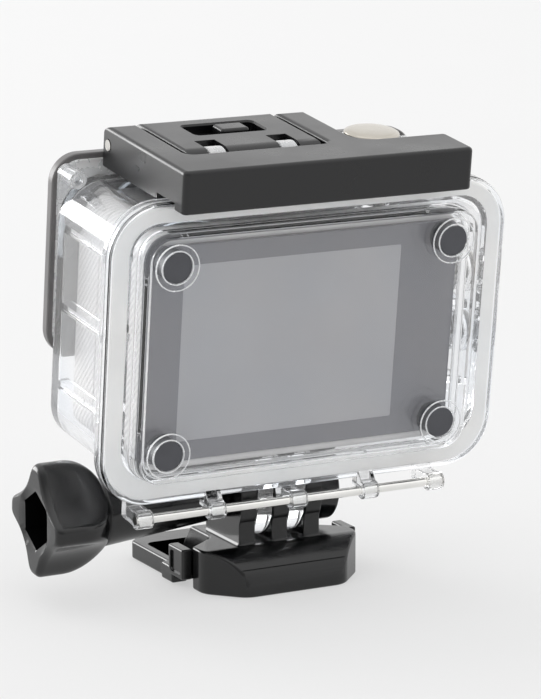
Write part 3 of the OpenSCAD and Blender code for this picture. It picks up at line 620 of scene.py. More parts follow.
@dataclass
class Buckle:
    """Quick-release buckle with three prongs and two squeeze legs, drawn in the row's own place."""

    screw_z: float = 15
    prong_r: float = 7.5
    prong_t: float = 3.1
    prong_pitch: float = 6.3
    prong_half: float = 6.5
    block_half: float = 15.2
    block_top: float = 7.6
    waist: float = 9.35
    rear: float = 12.8
    front: float = 23
    plate_z: float = 2.6
    leg_h: float = 3.2
    leg_in: float = 14.0
    leg_out: float = 15.8
    tab_half: float = 17.1
    tab_y: Point = (-2.6, 2.9)
    tab_z: Point = (1.7, 7.1)
    edge: float = 0.45
    nut_boss_r: float = 6.2
    nut_boss_t: float = 4.3
    screw_r: float = 2.55
    rear_round: float = 6.3

    def block(self) -> Object:
        """Makes the wide rear block with its hollow flanks and its rounded back."""
        half = [(self.waist, -13.5), (self.waist, -1.4), (self.block_half, 3.0), (self.block_half, 6.8),
                (9.5, self.rear)]
        radii = [0.8, 3.2, 0.9, 4.0, 4.0]
        plan = prism(rounded(mirrored(half), radii + radii[::-1]), Axis.Z, 0, self.block_top + 1)
        back = arc(self.rear - self.rear_round, self.block_top - self.rear_round, self.rear_round, 0, 90, 16)
        side = [(-13.5, 0), (self.rear, 0)] + back + [(-9.5, self.block_top), (-13.5, self.plate_z)]
        across = prism(side, Axis.X, -self.block_half - 1, self.block_half + 1)
        return softened(carve(plan, (Op.KEEP, across)), self.edge, 38)

    def tongue(self) -> Object:
        """Makes the flat tongue with its front bar and both legs."""
        half = [(self.waist, 0), (self.waist, -self.front + 6), (self.leg_in, -self.front + 6),
                (self.leg_in, self.tab_y[0]), (self.leg_out, self.tab_y[0]),
                (self.leg_out, -self.front + 3), (self.leg_out - 3, -self.front)]
        radii = [0.0, 1.2, 1.2, 0.3, 0.3, 1.5, 1.5]
        outline = rounded(mirrored(half[::-1]), radii[::-1] + radii)
        return prism(outline, Axis.Z, 0, self.leg_h, 0.4)

    def tab(self, side: int) -> Object:
        """Makes one squeeze tab with a raised frame around its outer face."""
        outer, inner = self.tab_half, self.tab_half - 2
        x = sorted((side * outer, side * inner))
        pad = box((x[0], x[1]), self.tab_y, self.tab_z, 0.35)
        y, z = self.tab_y, self.tab_z
        hollow = prism(rounded_rect(y[1] - y[0] - 1.6, z[1] - z[0] - 1.6, 0.5, sum(y) / 2, sum(z) / 2, 4),
                       Axis.X, *sorted((side * (outer - 0.35), side * (outer + 1))))
        foot = box(tuple(sorted((side * self.leg_in, side * (outer - 0.1)))), (y[0] - 3, y[0] + 1.4),
                   (0.2, self.leg_h), 0.4)
        return carve(pad, (Op.CUT, hollow), (Op.JOIN, foot))

    def prong(self, x: float) -> Object:
        """Makes one prong with a flared foot."""
        half = self.prong_t / 2
        head = arc(0, self.screw_z, self.prong_r, -29.9, 209.9, 40)
        outline = [(-self.prong_half, self.plate_z), (self.prong_half, self.plate_z)] + head
        foot = rounded_rect(self.prong_t, 2 * self.prong_half, 0.5, x, 0, 4)
        flare = 0.9
        rings = [(grown(foot, flare * (1 - math.sin(a)) - 0.02),
                  self.block_top - 0.3 + flare * (1 - math.cos(a)))
                 for a in (math.pi / 2 * i / 6 for i in range(7))]
        rings.insert(0, (grown(foot, flare), self.block_top - 0.8))
        return joined([prism(outline, Axis.X, x - half, x + half, 0.3), loft(rings, Axis.Z)])

    def build(self) -> None:
        """Makes the whole buckle as one piece."""
        solid = joined([self.block(), self.tongue(), self.tab(1), self.tab(-1)]
                       + [self.prong(i * self.prong_pitch) for i in (-1, 0, 1)])
        outer = -self.prong_pitch - self.prong_t / 2
        boss = rod(Axis.X, self.nut_boss_r, outer - self.nut_boss_t, outer + 0.5, 0, self.screw_z, 0.5)
        seat = prism(hexagon(8.1, 0, self.screw_z), Axis.X, outer - self.nut_boss_t - 1, outer - 0.3)
        bore = rod(Axis.X, self.screw_r, -30, 30, 0, self.screw_z)
        carve(solid, (Op.JOIN, boss), (Op.CUT, seat), (Op.CUT, bore))
        finish_piece(solid, "Buckle", "buckle", BLACK_NYLON, ("buckle",), leaning=False)


@dataclass
class ThumbKnob:
    """Four-lobed thumb knob on a tapered neck, turned about the screw's axis."""

    screw_z: float = 15
    neck_start: float = 8.15
    neck_end: float = 31.85
    end: float = 43.65
    neck_r: Point = (3.6, 5.9)
    head_r: float = 10
    dome: float = 6.8
    flank_r: float = 12.5
    valley: float = 6.8
    valley_turn: float = 40
    socket: float = 9
    socket_depth: float = 7
    screw_r: float = 2.5
    around: int = 144

    def lobe(self, angle: float) -> float:
        """Returns the head's outline radius at an angle in degrees."""
        from_valley = math.radians((angle - self.valley_turn + 45) % 90 - 45)
        reach = self.flank_r + self.valley
        inside = self.flank_r ** 2 - (reach * math.sin(from_valley)) ** 2
        return reach * math.cos(from_valley) - math.sqrt(inside) if inside > 0 else 2 * self.head_r

    def radius(self, x: float, angle: float) -> float:
        """Returns the knob's radius at a place along the axis and an angle."""
        if x <= self.neck_end:
            share = (x - self.neck_start) / (self.neck_end - self.neck_start)
            return self.neck_r[0] + (self.neck_r[1] - self.neck_r[0]) * share
        rise = self.head_r - self.neck_r[1]
        dome_r = (rise ** 2 + self.dome ** 2) / (2 * rise)
        t = min(x - self.neck_end, self.dome)
        dome = self.head_r - dome_r + math.sqrt(dome_r ** 2 - (self.dome - t) ** 2)
        power = 14
        return (dome ** -power + self.lobe(angle) ** -power) ** (-1 / power)

    def ring(self, x: float, inset: float = 0) -> Ring:
        """Returns one ring of the knob's skin."""
        outline = []
        for i in range(self.around):
            degrees = 360 * i / self.around
            r = self.radius(min(x, self.end), degrees) - inset
            a = math.radians(degrees)
            outline.append((r * math.cos(a), self.screw_z + r * math.sin(a)))
        return outline, x

    def build(self) -> None:
        """Makes the knob as one skin with a hexagon socket in its end."""
        rings = [self.ring(self.neck_start, 0.4), self.ring(self.neck_start + 0.12, 0.12)]
        rings += [self.ring(self.neck_start + 0.4 + i * (self.neck_end - self.neck_start - 0.9) / 12)
                  for i in range(13)]
        rings += [self.ring(self.neck_end - 0.25, 0.12), self.ring(self.neck_end, 0.3)]
        rings += [self.ring(self.neck_end + 0.25, 0.1)]
        rings += [self.ring(self.neck_end + 0.6 + (self.dome - 0.6) * i / 14) for i in range(15)]
        edge = 1.3
        for i in range(9):
            a = math.pi / 2 * i / 8
            rings.append(self.ring(self.end - edge + edge * math.sin(a), edge * (1 - math.cos(a))))
        knob = loft(rings, Axis.X)
        floor = self.end - self.socket_depth
        socket = prism(hexagon(self.socket, 0, self.screw_z, 30), Axis.X, floor, self.end + 1)
        dish = loft([(disc(5.0, 0, self.screw_z), self.end - 0.5),
                     (disc(6.3, 0, self.screw_z), self.end + 0.1)], Axis.X)
        bore = rod(Axis.X, self.screw_r, self.neck_start - 1, floor - 2, 0, self.screw_z)
        carve(knob, (Op.CUT, dish), (Op.CUT, socket), (Op.CUT, bore))
        finish_piece(knob, "Thumb_knob", "thumb_screw", BLACK_NYLON, ("thumb_knob",), leaning=False)


# ---------- Clear case ----------


@dataclass
class RimOutlines:
    """Outlines that the shell and the door share."""

    rim_w: float = 75.4
    rim_z: Point = (4.6, 57.4)
    rim_r: float = 9
    shell_w: float = 70.8
    shell_z: Point = (8.1, 55.3)
    shell_r: float = 7
    inner_w: float = 66.8
    inner_z: Point = (10.1, 53.3)
    inner_r: float = 5
    window_w: float = 63.2
    window_h: float = 43.6
    window_r: float = 4.5
    window_z: float = 31.1
    case_x: float = -1.2
    seal_edge: float = 0.9
    seal_in: float = 0.7

    def rim(self) -> Outline:
        """Returns the flange's outline."""
        return band(self.rim_w, self.rim_z, self.rim_r, self.case_x)

    def shell(self) -> Outline:
        """Returns the shell body's outline."""
        return band(self.shell_w, self.shell_z, self.shell_r, self.case_x)

    def inside(self) -> Outline:
        """Returns the cavity's outline."""
        return band(self.inner_w, self.inner_z, self.inner_r, self.case_x)

    def seal(self, gap: float) -> tuple[Outline, Outline]:
        """Returns the outer and the inner outline of the seal, or of its groove where gap is 0."""
        less, more = self.seal_edge + gap, self.seal_in + gap
        outside = band(self.rim_w - 2 * less, (self.rim_z[0] + less, self.rim_z[1] - less),
                       self.rim_r - self.seal_edge, self.case_x)
        inside = band(self.inner_w + 2 * more, (self.inner_z[0] - more, self.inner_z[1] + more),
                      self.inner_r + self.seal_in, self.case_x)
        return outside, inside

    def window(self) -> Outline:
        """Returns the door's window block's outline."""
        return rounded_rect(self.window_w, self.window_h, self.window_r, 0, self.window_z, 16)


@dataclass
class ShellSizes:
    """Places that the shell's fittings share with the latch, the hinge and the buttons."""

    seam: float = 9
    rim_front: float = 7.15
    front: float = -16.2
    inner_front: float = -14.3
    hinge: Point = (12.5, 3.0)
    knuckle_r: float = 1.6
    hinge_pin_r: float = 0.8
    knuckle_w: float = 3
    pivot: Point = (2.28, 60.9)
    lug_r: float = 3.0
    lug_w: float = 3.2
    latch_x: float = 7.45
    lug_half_pitch: float = 6.75
    latch_pin_r: float = 1.0
    lens: Point = (13.5, 41.05)
    port_r: float = 10.2
    port_boss_r: float = 13.6
    port_boss_front: float = -20
    plate_front: float = -18.4
    shutter: Point = (-17.2, 0)
    power: Point = (-18.65, 30.1)
    side_z: Point = (38.1, 27.1)
    shell_knuckles: tuple[float, ...] = (29.3, 0, -27.0)
    door_knuckles: tuple[float, ...] = (15.6, -14)
    side_wall: float = -36.6
    top: float = 55.3


@dataclass
class Shell:
    """Clear front shell with its flange, lugs, knuckles, prongs and button collars."""

    lines: RimOutlines
    at: ShellSizes
    corner: float = 1.4
    post: Point = (32.7, 56.0)
    post_r: float = 1.6
    post_l: float = 5.7
    rib_z: tuple[float, ...] = (18.1, 32.2, 46.1)
    prong_r: float = 7.2
    prong_x: float = 3.15
    screw_bore: float = 2.55
    collar_r: float = 5.6
    side_collar_r: float = 4.15
    guide_r: float = 2.5
    stem_bore: float = 1.55

    def skin(self) -> Object:
        """Makes the outer body, which flares into the flange."""
        shell, rim = self.lines.shell(), self.lines.rim()
        rings = edge_rings(shell, self.at.front, 1, self.corner, 6)
        flare = 1.3
        for i in range(7):
            a = math.pi / 2 * i / 6
            rings.append((blended(shell, rim, 0.4 * (1 - math.cos(a))),
                          self.at.rim_front - flare + flare * math.sin(a)))
        rings += edge_rings(rim, self.at.rim_front, 1, 0.55, 5)
        rings += edge_rings(rim, self.at.seam, -1, 0.3, 3)[::-1]
        return loft(rings, Axis.Y)

    def cavity(self) -> Object:
        """Makes the space that the camera sits in."""
        return prism(self.lines.inside(), Axis.Y, self.at.inner_front, self.at.seam + 1, 0, 1.1)

    def lug(self, x: float) -> Object:
        """Makes one of the two lugs that hold the lever's pin."""
        y, z = self.at.pivot
        r, foot = self.at.lug_r, self.at.top + 0.05
        outline = [(y - r, foot), (y + r, foot)] + arc(y, z, r, 0, 180, 20)
        return prism(outline, Axis.X, x - self.at.lug_w / 2, x + self.at.lug_w / 2, 0.35)

    def knuckle(self, x: float) -> Object:
        """Makes a hinge knuckle on the flange's lower edge."""
        low, high = x - self.at.knuckle_w / 2, x + self.at.knuckle_w / 2
        barrel = rod(Axis.X, self.at.knuckle_r, low, high, *self.at.hinge, 0.3, 32)
        y, z = self.at.hinge
        front, seam = self.at.rim_front, self.at.seam
        web = prism(rounded([(front, z - 1.2), (y, z - 1.2), (y, z + 1.3), (seam, z + 1.3), (seam, z + 3.6),
                             (front, z + 3.6)], [0.9, 0.2, 0.3, 0.2, 0, 0], 4), Axis.X, low, high, 0.25)
        return joined([barrel, web])

    def prong(self, x: float) -> Object:
        """Makes one of the two prongs that the screw passes through."""
        r, root = self.prong_r, 9.2
        outline = [(r, root), (-r, root)] + arc(0, 0, r, 180, 360, 32)
        return prism(outline, Axis.X, x - 1.5, x + 1.5, 0.3)

    def corner_post(self, side: int) -> Object:
        """Makes the post behind an upper corner of the face plate, on its web from the shell's top."""
        front, back = self.at.front, self.at.front + self.post_l
        x, z = side * self.post[0], self.post[1]
        post = rod(Axis.Y, self.post_r, front, back, x, z, 0.4, 32)
        web = box(tuple(sorted((side * 30.9, side * 34.2))), (front, front + 1.4), (48.4, z), 0.3)
        hole = rod(Axis.Y, self.post_r / 2, back - 4, back + 1, x, z, 0, 24)
        return carve(post, (Op.JOIN, web), (Op.CUT, hole))

    def ribs(self) -> list[Object]:
        """Makes the ledges that guide the camera along both side walls."""
        made = []
        for side in (1, -1):
            for z in self.rib_z:
                x = sorted((side * 29.85, self.lines.case_x + side * (self.lines.inner_w / 2 + 0.4)))
                made.append(box((x[0], x[1]), (self.at.inner_front - 0.4, 4.7), (z, z + 1.5), 0.35))
        return made

    def build(self) -> None:
        """Makes the shell as one clear piece."""
        at = self.at
        body = carve(self.skin(), *((Op.JOIN, self.knuckle(x)) for x in at.shell_knuckles),
                     *((Op.JOIN, self.corner_post(side)) for side in (1, -1)),
                     (Op.CUT, self.cavity()),
                     (Op.CUT, rod(Axis.X, 8.05, -13.15, 8.85)))
        additions = [self.prong(x) for x in (self.prong_x, -self.prong_x)]
        additions += [rod(Axis.Y, at.port_boss_r, at.port_boss_front, at.front + 0.5, *at.lens, 0.3, 72)]
        additions += [rod(Axis.Z, self.collar_r, at.top - 0.4, at.top + 7.3, *at.shutter, 0.35)]
        additions += [rod(Axis.Y, self.guide_r, at.plate_front - 0.3, at.front + 0.5, *at.power)]
        additions += [rod(Axis.X, self.side_collar_r, at.side_wall - 1.6, at.side_wall + 3.2, 0, z, 0.35)
                      for z in at.side_z]
        additions += self.ribs()
        cuts = [rod(Axis.Y, at.port_r, -25, -5, *at.lens, 0, 72), rod(Axis.X, self.screw_bore, -20, 20),
                rod(Axis.X, at.hinge_pin_r, -33, 35, *at.hinge, 0, 32),
                *self.well_cuts()]
        carve(body, *((Op.JOIN, a) for a in additions), *((Op.CUT, c) for c in cuts))
        finish_piece(body, "Clear_shell", "case", CLEAR_CASE, ("case_shell",))
        lugs = carve(joined([self.lug(at.latch_x + s * at.lug_half_pitch) for s in (1, -1)]),
                     (Op.CUT, rod(Axis.X, at.latch_pin_r, -5.25, 20.15, *at.pivot, 0, 32)))
        finish_piece(lugs, "Latch_lugs", "case", CLEAR_EDGE)

    def well_cuts(self) -> list[Object]:
        """Makes the hollows in which the buttons' caps, springs and stems move."""
        at = self.at
        guide_r, bore = self.guide_r, self.stem_bore
        shutter = carve(rod(Axis.Z, self.collar_r - 0.5, at.top + 0.6, 70, *at.shutter),
                        (Op.CUT, rod(Axis.Z, guide_r, at.top - 0.4, at.top + 4.4, *at.shutter)),
                        (Op.JOIN, rod(Axis.Z, bore, 52, 75, *at.shutter)))
        cuts = [shutter, rod(Axis.Y, bore, -25, -12, *at.power)]
        for z in at.side_z:
            cap = carve(rod(Axis.X, self.side_collar_r - 0.9, at.side_wall - 9, at.side_wall + 1.4, 0, z),
                        (Op.CUT, rod(Axis.X, guide_r, at.side_wall + 0.2, at.side_wall + 2.4, 0, z)),
                        (Op.JOIN, rod(Axis.X, bore, -50, -30, 0, z)))
            cuts.append(cap)
        return cuts


@dataclass
class Door:
    """Clear back door with a raised window, four pads, a lip for the clasp and hinge knuckles."""

    lines: RimOutlines
    at: ShellSizes
    front: float = 9.15
    rim_back: float = 11
    block_back: float = 14.4
    recess_back: float = 12.2
    pad_r: float = 2.65
    pad_half: Point = (26.2, 16.43)
    boss_r: float = 4.0
    edge_radii: Point = (4.05, 2.98)

    def pads(self) -> list[Point]:
        """Returns the four pads' centres."""
        x, z = self.pad_half
        return [(sx * x, self.lines.window_z + sz * z) for sx in (1, -1) for sz in (1, -1)]

    def skin(self) -> Object:
        """Makes the pillowed rim and the window block on it."""
        rim, window = self.lines.rim(), self.lines.window()
        rings = edge_rings(rim, self.front, 1, 0.3, 3)
        rings += edge_rings(rim, self.rim_back, -1, 1.1, 7)[::-1]
        fillet = 0.5
        for i in range(5):
            a = math.pi / 2 * i / 4
            rings.append((grown(window, fillet * (1 - math.sin(a))),
                          self.rim_back - 0.15 + fillet * (1 - math.cos(a))))
        rings += edge_rings(grown(window, -0.25), self.block_back, -1, 0.45, 4)[::-1]
        return loft(rings, Axis.Y)

    def lip(self) -> Object:
        """Makes the lip that the clasp hooks over."""
        outline = rounded([(11, 54.4), (11, 56.8), (12.05, 58.12), (9.65, 60.6), (9.15, 60.6), (9.15, 54.4)],
                          [0, 0.4, 0.3, 0.25, 0.1, 0], 4)
        return prism(outline, Axis.X, -26.1, 19.35, 0.4)

    def knuckle(self, x: float) -> Object:
        """Makes a hinge knuckle under the rim."""
        low, high = x - self.at.knuckle_w / 2, x + self.at.knuckle_w / 2
        y, z = self.at.hinge
        top = z + 3.2
        web = prism([(self.front, z), (y, z), (y, z + 1.4), (self.rim_back - 0.2, top), (self.front, top)],
                    Axis.X, low, high, 0.25)
        return joined([rod(Axis.X, self.at.knuckle_r, low, high, y, z, 0.3, 32), web])

    def build(self) -> None:
        """Makes the door as one clear piece."""
        lines = self.lines
        bosses = [rod(Axis.Y, self.boss_r, self.block_back - 0.5, self.block_back + 0.4, x, z, 0.18)
                  for x, z in self.pads()]
        recess = prism(rounded_rect(60.5, 42.3, 4, 0, lines.window_z, 16), Axis.Y, self.front - 1,
                       self.recess_back, 0.35, 0)
        holes = [rod(Axis.Y, self.pad_r, self.front - 1, 20, x, z) for x, z in self.pads()]
        outside, inside = lines.seal(0)
        groove = carve(prism(outside, Axis.Y, self.front - 1, self.front + 0.8),
                       (Op.CUT, prism(inside, Axis.Y, self.front - 2, self.front + 2)))
        door = carve(self.skin(), *((Op.JOIN, b) for b in bosses), (Op.JOIN, self.lip()),
                     *((Op.JOIN, self.knuckle(x)) for x in self.at.door_knuckles),
                     (Op.CUT, recess), *((Op.CUT, h) for h in holes),
                     (Op.CUT, groove),
                     (Op.CUT, rod(Axis.X, self.at.hinge_pin_r + 0.05, -33, 35, *self.at.hinge, 0, 32)))
        finish_piece(door, "Back_door", "door", CLEAR_DOOR, ("back_door",))
        edges = [carve(rod(Axis.Y, r, -0.12, 0.12, 0, 0, 0.05), (Op.CUT, rod(Axis.Y, r - 0.2, -1, 1)))
                 for r in self.edge_radii]
        places = [(x, self.block_back + 0.34, z) for x, z in self.pads()]
        rings = Repeat("Pad_rings").set_out(joined(edges), places, CLEAR_EDGE)
        finish_piece(rings, "Pad_rings", "door", CLEAR_EDGE)
        pads = [rod(Axis.Y, self.pad_r + 0.03, 10.15, 14.7, x, z, 0.25) for x, z in self.pads()]
        finish_piece(joined(pads), "Door_pads", "door", RUBBER_PAD, ("door_pads",))
        outside, inside = lines.seal(0.05)
        seal = carve(prism(outside, Axis.Y, self.at.seam + 0.02, self.front + 0.78, 0.3),
                     (Op.CUT, prism(inside, Axis.Y, self.front - 2, self.front + 2)))
        finish_piece(seal, "Door_seal", "door", SEAL, ("door_seal",))


# ---------- Latch ----------


@dataclass
class Latch:
    """Black lever, clasp and lock slider on top of the case."""

    at: ShellSizes
    lever_half: float = 12.7
    top: float = 64.1
    pin: Point = (-13.22, 60.9)
    bar_y: Point = (5.88, 15.88)
    bar_right: float = -28.3
    arm_w: float = 5.4
    arm_in: float = 13.4
    arm_front: float = -15.62
    edge: float = 0.75

    def clasp(self) -> Object:
        """Makes the two arms and the rear bar with its hook."""
        left = self.at.latch_x + self.arm_in
        right = self.at.latch_x - self.arm_in
        y0, y1 = self.bar_y
        front = self.arm_front
        corners = [(self.bar_right, y1), (self.bar_right, y0), (right - self.arm_w, y0),
                   (right - self.arm_w, front), (right, front), (right, y0), (left, y0), (left, front),
                   (left + self.arm_w, front), (left + self.arm_w, y1)]
        radii = [1.0, 1.0, 3.8, 0.8, 0.8, 1.6, 1.6, 0.8, 0.8, 1.0]
        plan = prism(rounded(corners, radii), Axis.Z, 56.7, self.top, self.edge, 0.4)
        nose = arc(front + 3, self.top - 3, 3, 90, 180, 12)
        side = prism([(front, 50), (y1 + 1, 50), (y1 + 1, self.top + 1), (front + 3.5, self.top + 1),
                      (front + 3.5, self.top)] + nose, Axis.X, -40, 40)
        carve(plan, (Op.KEEP, side))
        hook = prism([(y0 - 1, 56.1), (14.7, 56.1), (10.07, 60.9), (y0 - 1, 60.9)], Axis.X, -40, left)
        notch = prism([(5.95, 50), (12.6, 50), (12.6, 58.0), (5.95, 58.0)], Axis.X, left - 0.01, 40)
        return carve(plan, (Op.CUT, hook), (Op.CUT, notch),
                     (Op.CUT, rod(Axis.X, 1.12, -40, 40, *self.pin, 0, 32)))

    def lever(self) -> Object:
        """Makes the lever with its barrel, lug slots and the lock's recess."""
        x0, x1 = self.at.latch_x - self.lever_half, self.at.latch_x + self.lever_half
        y, z = self.at.pivot
        top = self.top - 0.05
        nose = arc(self.pin[0], z, 3.15, 90, 270, 16)
        barrel = arc(y, z, 3.1, -90, 90, 16)
        side = prism(barrel + nose, Axis.X, x0 - 1, x1 + 1)
        plan = prism(rounded([(x0, -16.5), (x1, -16.5), (x1, y + 3.1), (x0, y + 3.1)], [1.3, 1.3, 1.8, 1.8]),
                     Axis.Z, 57.7, top, self.edge)
        carve(plan, (Op.KEEP, side))
        slots = [box((self.at.latch_x + s * self.at.lug_half_pitch - 1.9, self.at.latch_x
                      + s * self.at.lug_half_pitch + 1.9), (y - 3.7, y + 6), (z - 6, z + 6)) for s in (1, -1)]
        recess = loft([(rounded_rect(13.6, 6.5, 1.0, 7.25, -7.77, 5), top - 1.75),
                       (rounded_rect(13.6, 6.5, 1.0, 7.25, -7.77, 5), top - 0.35),
                       (rounded_rect(14.2, 7.1, 1.3, 7.25, -7.77, 5), top + 0.05),
                       (rounded_rect(14.2, 7.1, 1.3, 7.25, -7.77, 5), top + 1)], Axis.Z)
        return carve(plan, *((Op.CUT, s) for s in slots), (Op.CUT, recess),
                     (Op.CUT, rod(Axis.X, 1.05, -40, 40, y, z, 0, 32)),
                     (Op.CUT, rod(Axis.X, 1.05, -40, 40, *self.pin, 0, 32)))

    def slider(self) -> Object:
        """Makes the lock's slider."""
        plate = box((3.05, 8.45), (-10.0, -6.15), (self.top - 1.7, self.top + 0.1), 0.55)
        return plate

    def build(self) -> None:
        """Makes the latch's three moving pieces."""
        finish_piece(cleaned(self.clasp()), "Latch_clasp", "clasp", BLACK_LATCH, ("latch_clasp",))
        finish_piece(cleaned(self.lever()), "Latch_lever", "lever", BLACK_LATCH, ("latch_lever",))
        finish_piece(self.slider(), "Lock_slider", "lock", BLACK_LATCH, ("lock_slider",))


# ---------- Front ----------


@dataclass
class Front:
    """Grey face plate and the square lens port."""

    lines: RimOutlines
    at: ShellSizes
    plate_w: float = 70
    plate_z: Point = (23, 59)
    plate_r: float = 5
    ring: float = 33
    ring_r: float = 7
    ring_front: float = -22.5
    screw_half: float = 13.2

    def screw_places(self) -> list[Point]:
        """Returns the centres of the ring's four screws."""
        x, z = self.at.lens
        return [(x + sx * self.screw_half, z + sz * self.screw_half) for sx in (1, -1) for sz in (1, -1)]

    def build(self) -> None:
        """Makes the plate and the port's ring."""
        at = self.at
        x, z = at.lens
        outline = band(self.plate_w, self.plate_z, self.plate_r, steps=12)
        plate = carve(prism(outline, Axis.Y, at.plate_front, at.front, 0.3, 0.7),
                      (Op.CUT, rod(Axis.Y, 13.7, -25, -10, x, z, 0, 72)),
                      (Op.CUT, rod(Axis.Y, 4.65, -25, -10, *at.power)))
        finish_piece(plate, "Front_plate", "case", GREY_PLATE, ("front_plate",))
        low, high = self.plate_z[0] + 1, self.plate_z[1] - 1
        seat = carve(prism(band(self.plate_w - 2, (low, high), self.plate_r - 1, steps=12), Axis.Y, at.front,
                           at.front + 0.5, 0.2, 0),
                     (Op.CUT, prism(grown(self.lines.shell(), -1.5), Axis.Y, -30, 0)))
        finish_piece(seat, "Plate_seat", "case", CLEAR_EDGE)
        ring = carve(prism(rounded_rect(self.ring, self.ring, self.ring_r, x, z, 12), Axis.Y, self.ring_front,
                           at.plate_front, 0.2, 0.9),
                     (Op.CUT, rod(Axis.Y, 11.0, -30, -10, x, z, 0, 72)),
                     (Op.CUT, rod(Axis.Y, 13.65, -21.95, -10, x, z, 0, 72)),
                     (Op.CUT, loft([(disc(13.0, x, z, 72), self.ring_front - 0.3),
                                    (disc(11.0, x, z, 72), self.ring_front + 0.9)], Axis.Y)),
                     *((Op.CUT, rod(Axis.Y, 2.0, -30, self.ring_front + 1.6, *place, 0, 32))
                       for place in self.screw_places()))
        finish_piece(ring, "Lens_port_ring", "case", BLACK_RING, ("lens_port_ring",))
        head, shank_end = self.ring_front + 0.2, at.front + 1.2
        screw = carve(rod(Axis.Y, 1.9, head, head + 1.4, 0, 0, 0.35),
                      (Op.JOIN, rod(Axis.Y, 0.98, head + 1.3, shank_end)),
                      (Op.CUT, prism(hexagon(1.45), Axis.Y, head - 1, head + 0.8)))
        places = [(sx, 0, sz) for sx, sz in self.screw_places()]
        screws = Repeat("Port_screws", wobble=1.0).set_out(screw, places, STEEL)
        finish_piece(screws, "Port_screws", "case", STEEL, ("port_screws",))


# ---------- Camera ----------


@dataclass
class CameraBody:
    """The camera inside the case: two covers, the screen and its glass."""

    at: ShellSizes
    width: float = 59.3
    height: float = 41.1
    corner: float = 4
    mid_z: float = 31.1
    front: float = -13.9
    split: float = -5
    back: float = 9.3
    glass_back: float = 10.1
    glass: Point = (58.4, 38)
    screen: Point = (41.2, 30.9)
    screen_x: float = 2.5
    key_hole: float = 2.35

    def covers(self) -> None:
        """Makes the front and rear covers with a seam between them."""
        outline = rounded_rect(self.width, self.height, self.corner, 0, self.mid_z, 10)
        front = carve(prism(outline, Axis.Y, self.front, self.split - 0.08, 0.2, 1.2),
                      (Op.CUT, rod(Axis.Y, 8.55, -30, 0, *self.at.lens)),
                      (Op.CUT, prism(grown(outline, -1.4), Axis.Y, self.front + 1.4, 0)),
                      (Op.CUT, rod(Axis.Y, self.key_hole, -20, -10, *self.at.power)))
        rear = carve(prism(outline, Axis.Y, self.split + 0.08, self.back, 0.5, 0.2),
                     (Op.CUT, prism(grown(outline, -1.4), Axis.Y, -10, self.back - 1.4)),
                     (Op.CUT, rod(Axis.Z, self.key_hole, 48, 56, *self.at.shutter)),
                     *((Op.CUT, rod(Axis.X, self.key_hole, -35, -25, 0, z)) for z in self.at.side_z))
        finish_piece(front, "Camera_front_cover", "case", COVER, ("camera_front_cover",))
        finish_piece(rear, "Camera_rear_cover", "case", COVER, ("camera_rear_cover",))

    def glass_panel(self) -> None:
        """Makes the screen's glass, with the lit panel set in its printed surface."""
        glass = rounded_rect(*self.glass, 2, 0, self.mid_z, 8)
        screen = rounded_rect(*self.screen, 0.3, self.screen_x, self.mid_z, 3)
        slab = prism(glass, Axis.Y, self.back, self.glass_back, 0.2, 0)
        window = prism(screen, Axis.Y, self.glass_back - 0.3, self.glass_back + 0.5)
        panel = prism(screen, Axis.Y, self.back - 1, self.glass_back - 0.01)
        carve(slab, (Op.CUT, window))
        finish_piece(slab, "Screen_glass", "case", SCREEN, ("screen_glass",))
        finish_piece(panel, "Screen_panel", "case", LCD, ("lcd_panel",))

    def build(self) -> None:
        """Makes the camera's visible outside."""
        self.covers()
        self.glass_panel()


# ---------- Buttons ----------


@dataclass
class Button:
    """A domed cap on its stem, drawn upwards from the wall's outer face and then turned into its place."""

    name: str
    cap_r: float
    cap_z: Point
    stem_end: float
    place: Point3
    turn: tuple[float, str]
    dome: float = 0.45
    lip: float = 0.55
    stem_r: float = 1.47

    def build(self) -> None:
        """Makes the button and sets it in its wall."""
        low, high = self.cap_z
        rings = edge_rings(disc(self.cap_r), low, 1, 0.25, 3)
        rings += edge_rings(disc(self.cap_r), high - self.dome, -1, self.lip, 5)[::-1]
        crown = self.cap_r - self.lip
        for i in range(1, 7):
            a = math.pi / 2 * i / 7
            rings.append((disc(crown * math.cos(a)), high - self.dome + self.dome * math.sin(a)))
        stem = rod(Axis.Z, self.stem_r, self.stem_end, low + 0.3, 0, 0, 0.2)
        button = carve(loft(rings, Axis.Z), (Op.JOIN, stem))
        degrees, axis = self.turn
        turned = Matrix.Rotation(math.radians(degrees), 4, axis)
        button.data.transform(Matrix.Translation(self.place) @ turned)
        finish_piece(button, self.name.capitalize() + "_button", self.name + "_button", SATIN_CAP,
                     (self.name + "_plunger",))


def buttons(at: ShellSizes) -> list[Button]:
    """Lists the four buttons with their sizes and places."""
    wall = at.side_wall
    found = [Button("shutter", 4.85, (6.1, 8.9), -3.1, (*at.shutter, at.top), (0, "X")),
             Button("power", 4.4, (1.2, 2.9), -4.25, (at.power[0], at.plate_front, at.power[1]), (90, "X"))]
    for name, z in zip(("up", "down"), at.side_z):
        found.append(Button(name, 3.0, (1.1, 2.1), -6.4, (wall, 0, z), (-90, "Y"), dome=0.2))
    return found


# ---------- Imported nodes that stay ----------

KEPT_NODES: dict[str, Finish] = {
    "captive_nut": STEEL, "thumb_screw": STEEL, "lens_port_glass": PORT_GLASS, "lens_port_seal": BLACK_RUBBER,
    "hinge_pin": BRIGHT_ROD, "latch_pivot_pin": STEEL, "clasp_pin": STEEL,
    "main_board": BOARD, "battery": WRAP, "battery_door": COVER, "lens_barrel": BLACK_RING,
    "lens_front_glass": LENS_GLASS, "image_sensor": BOARD,
}
BUTTONS = ("shutter", "power", "up", "down")


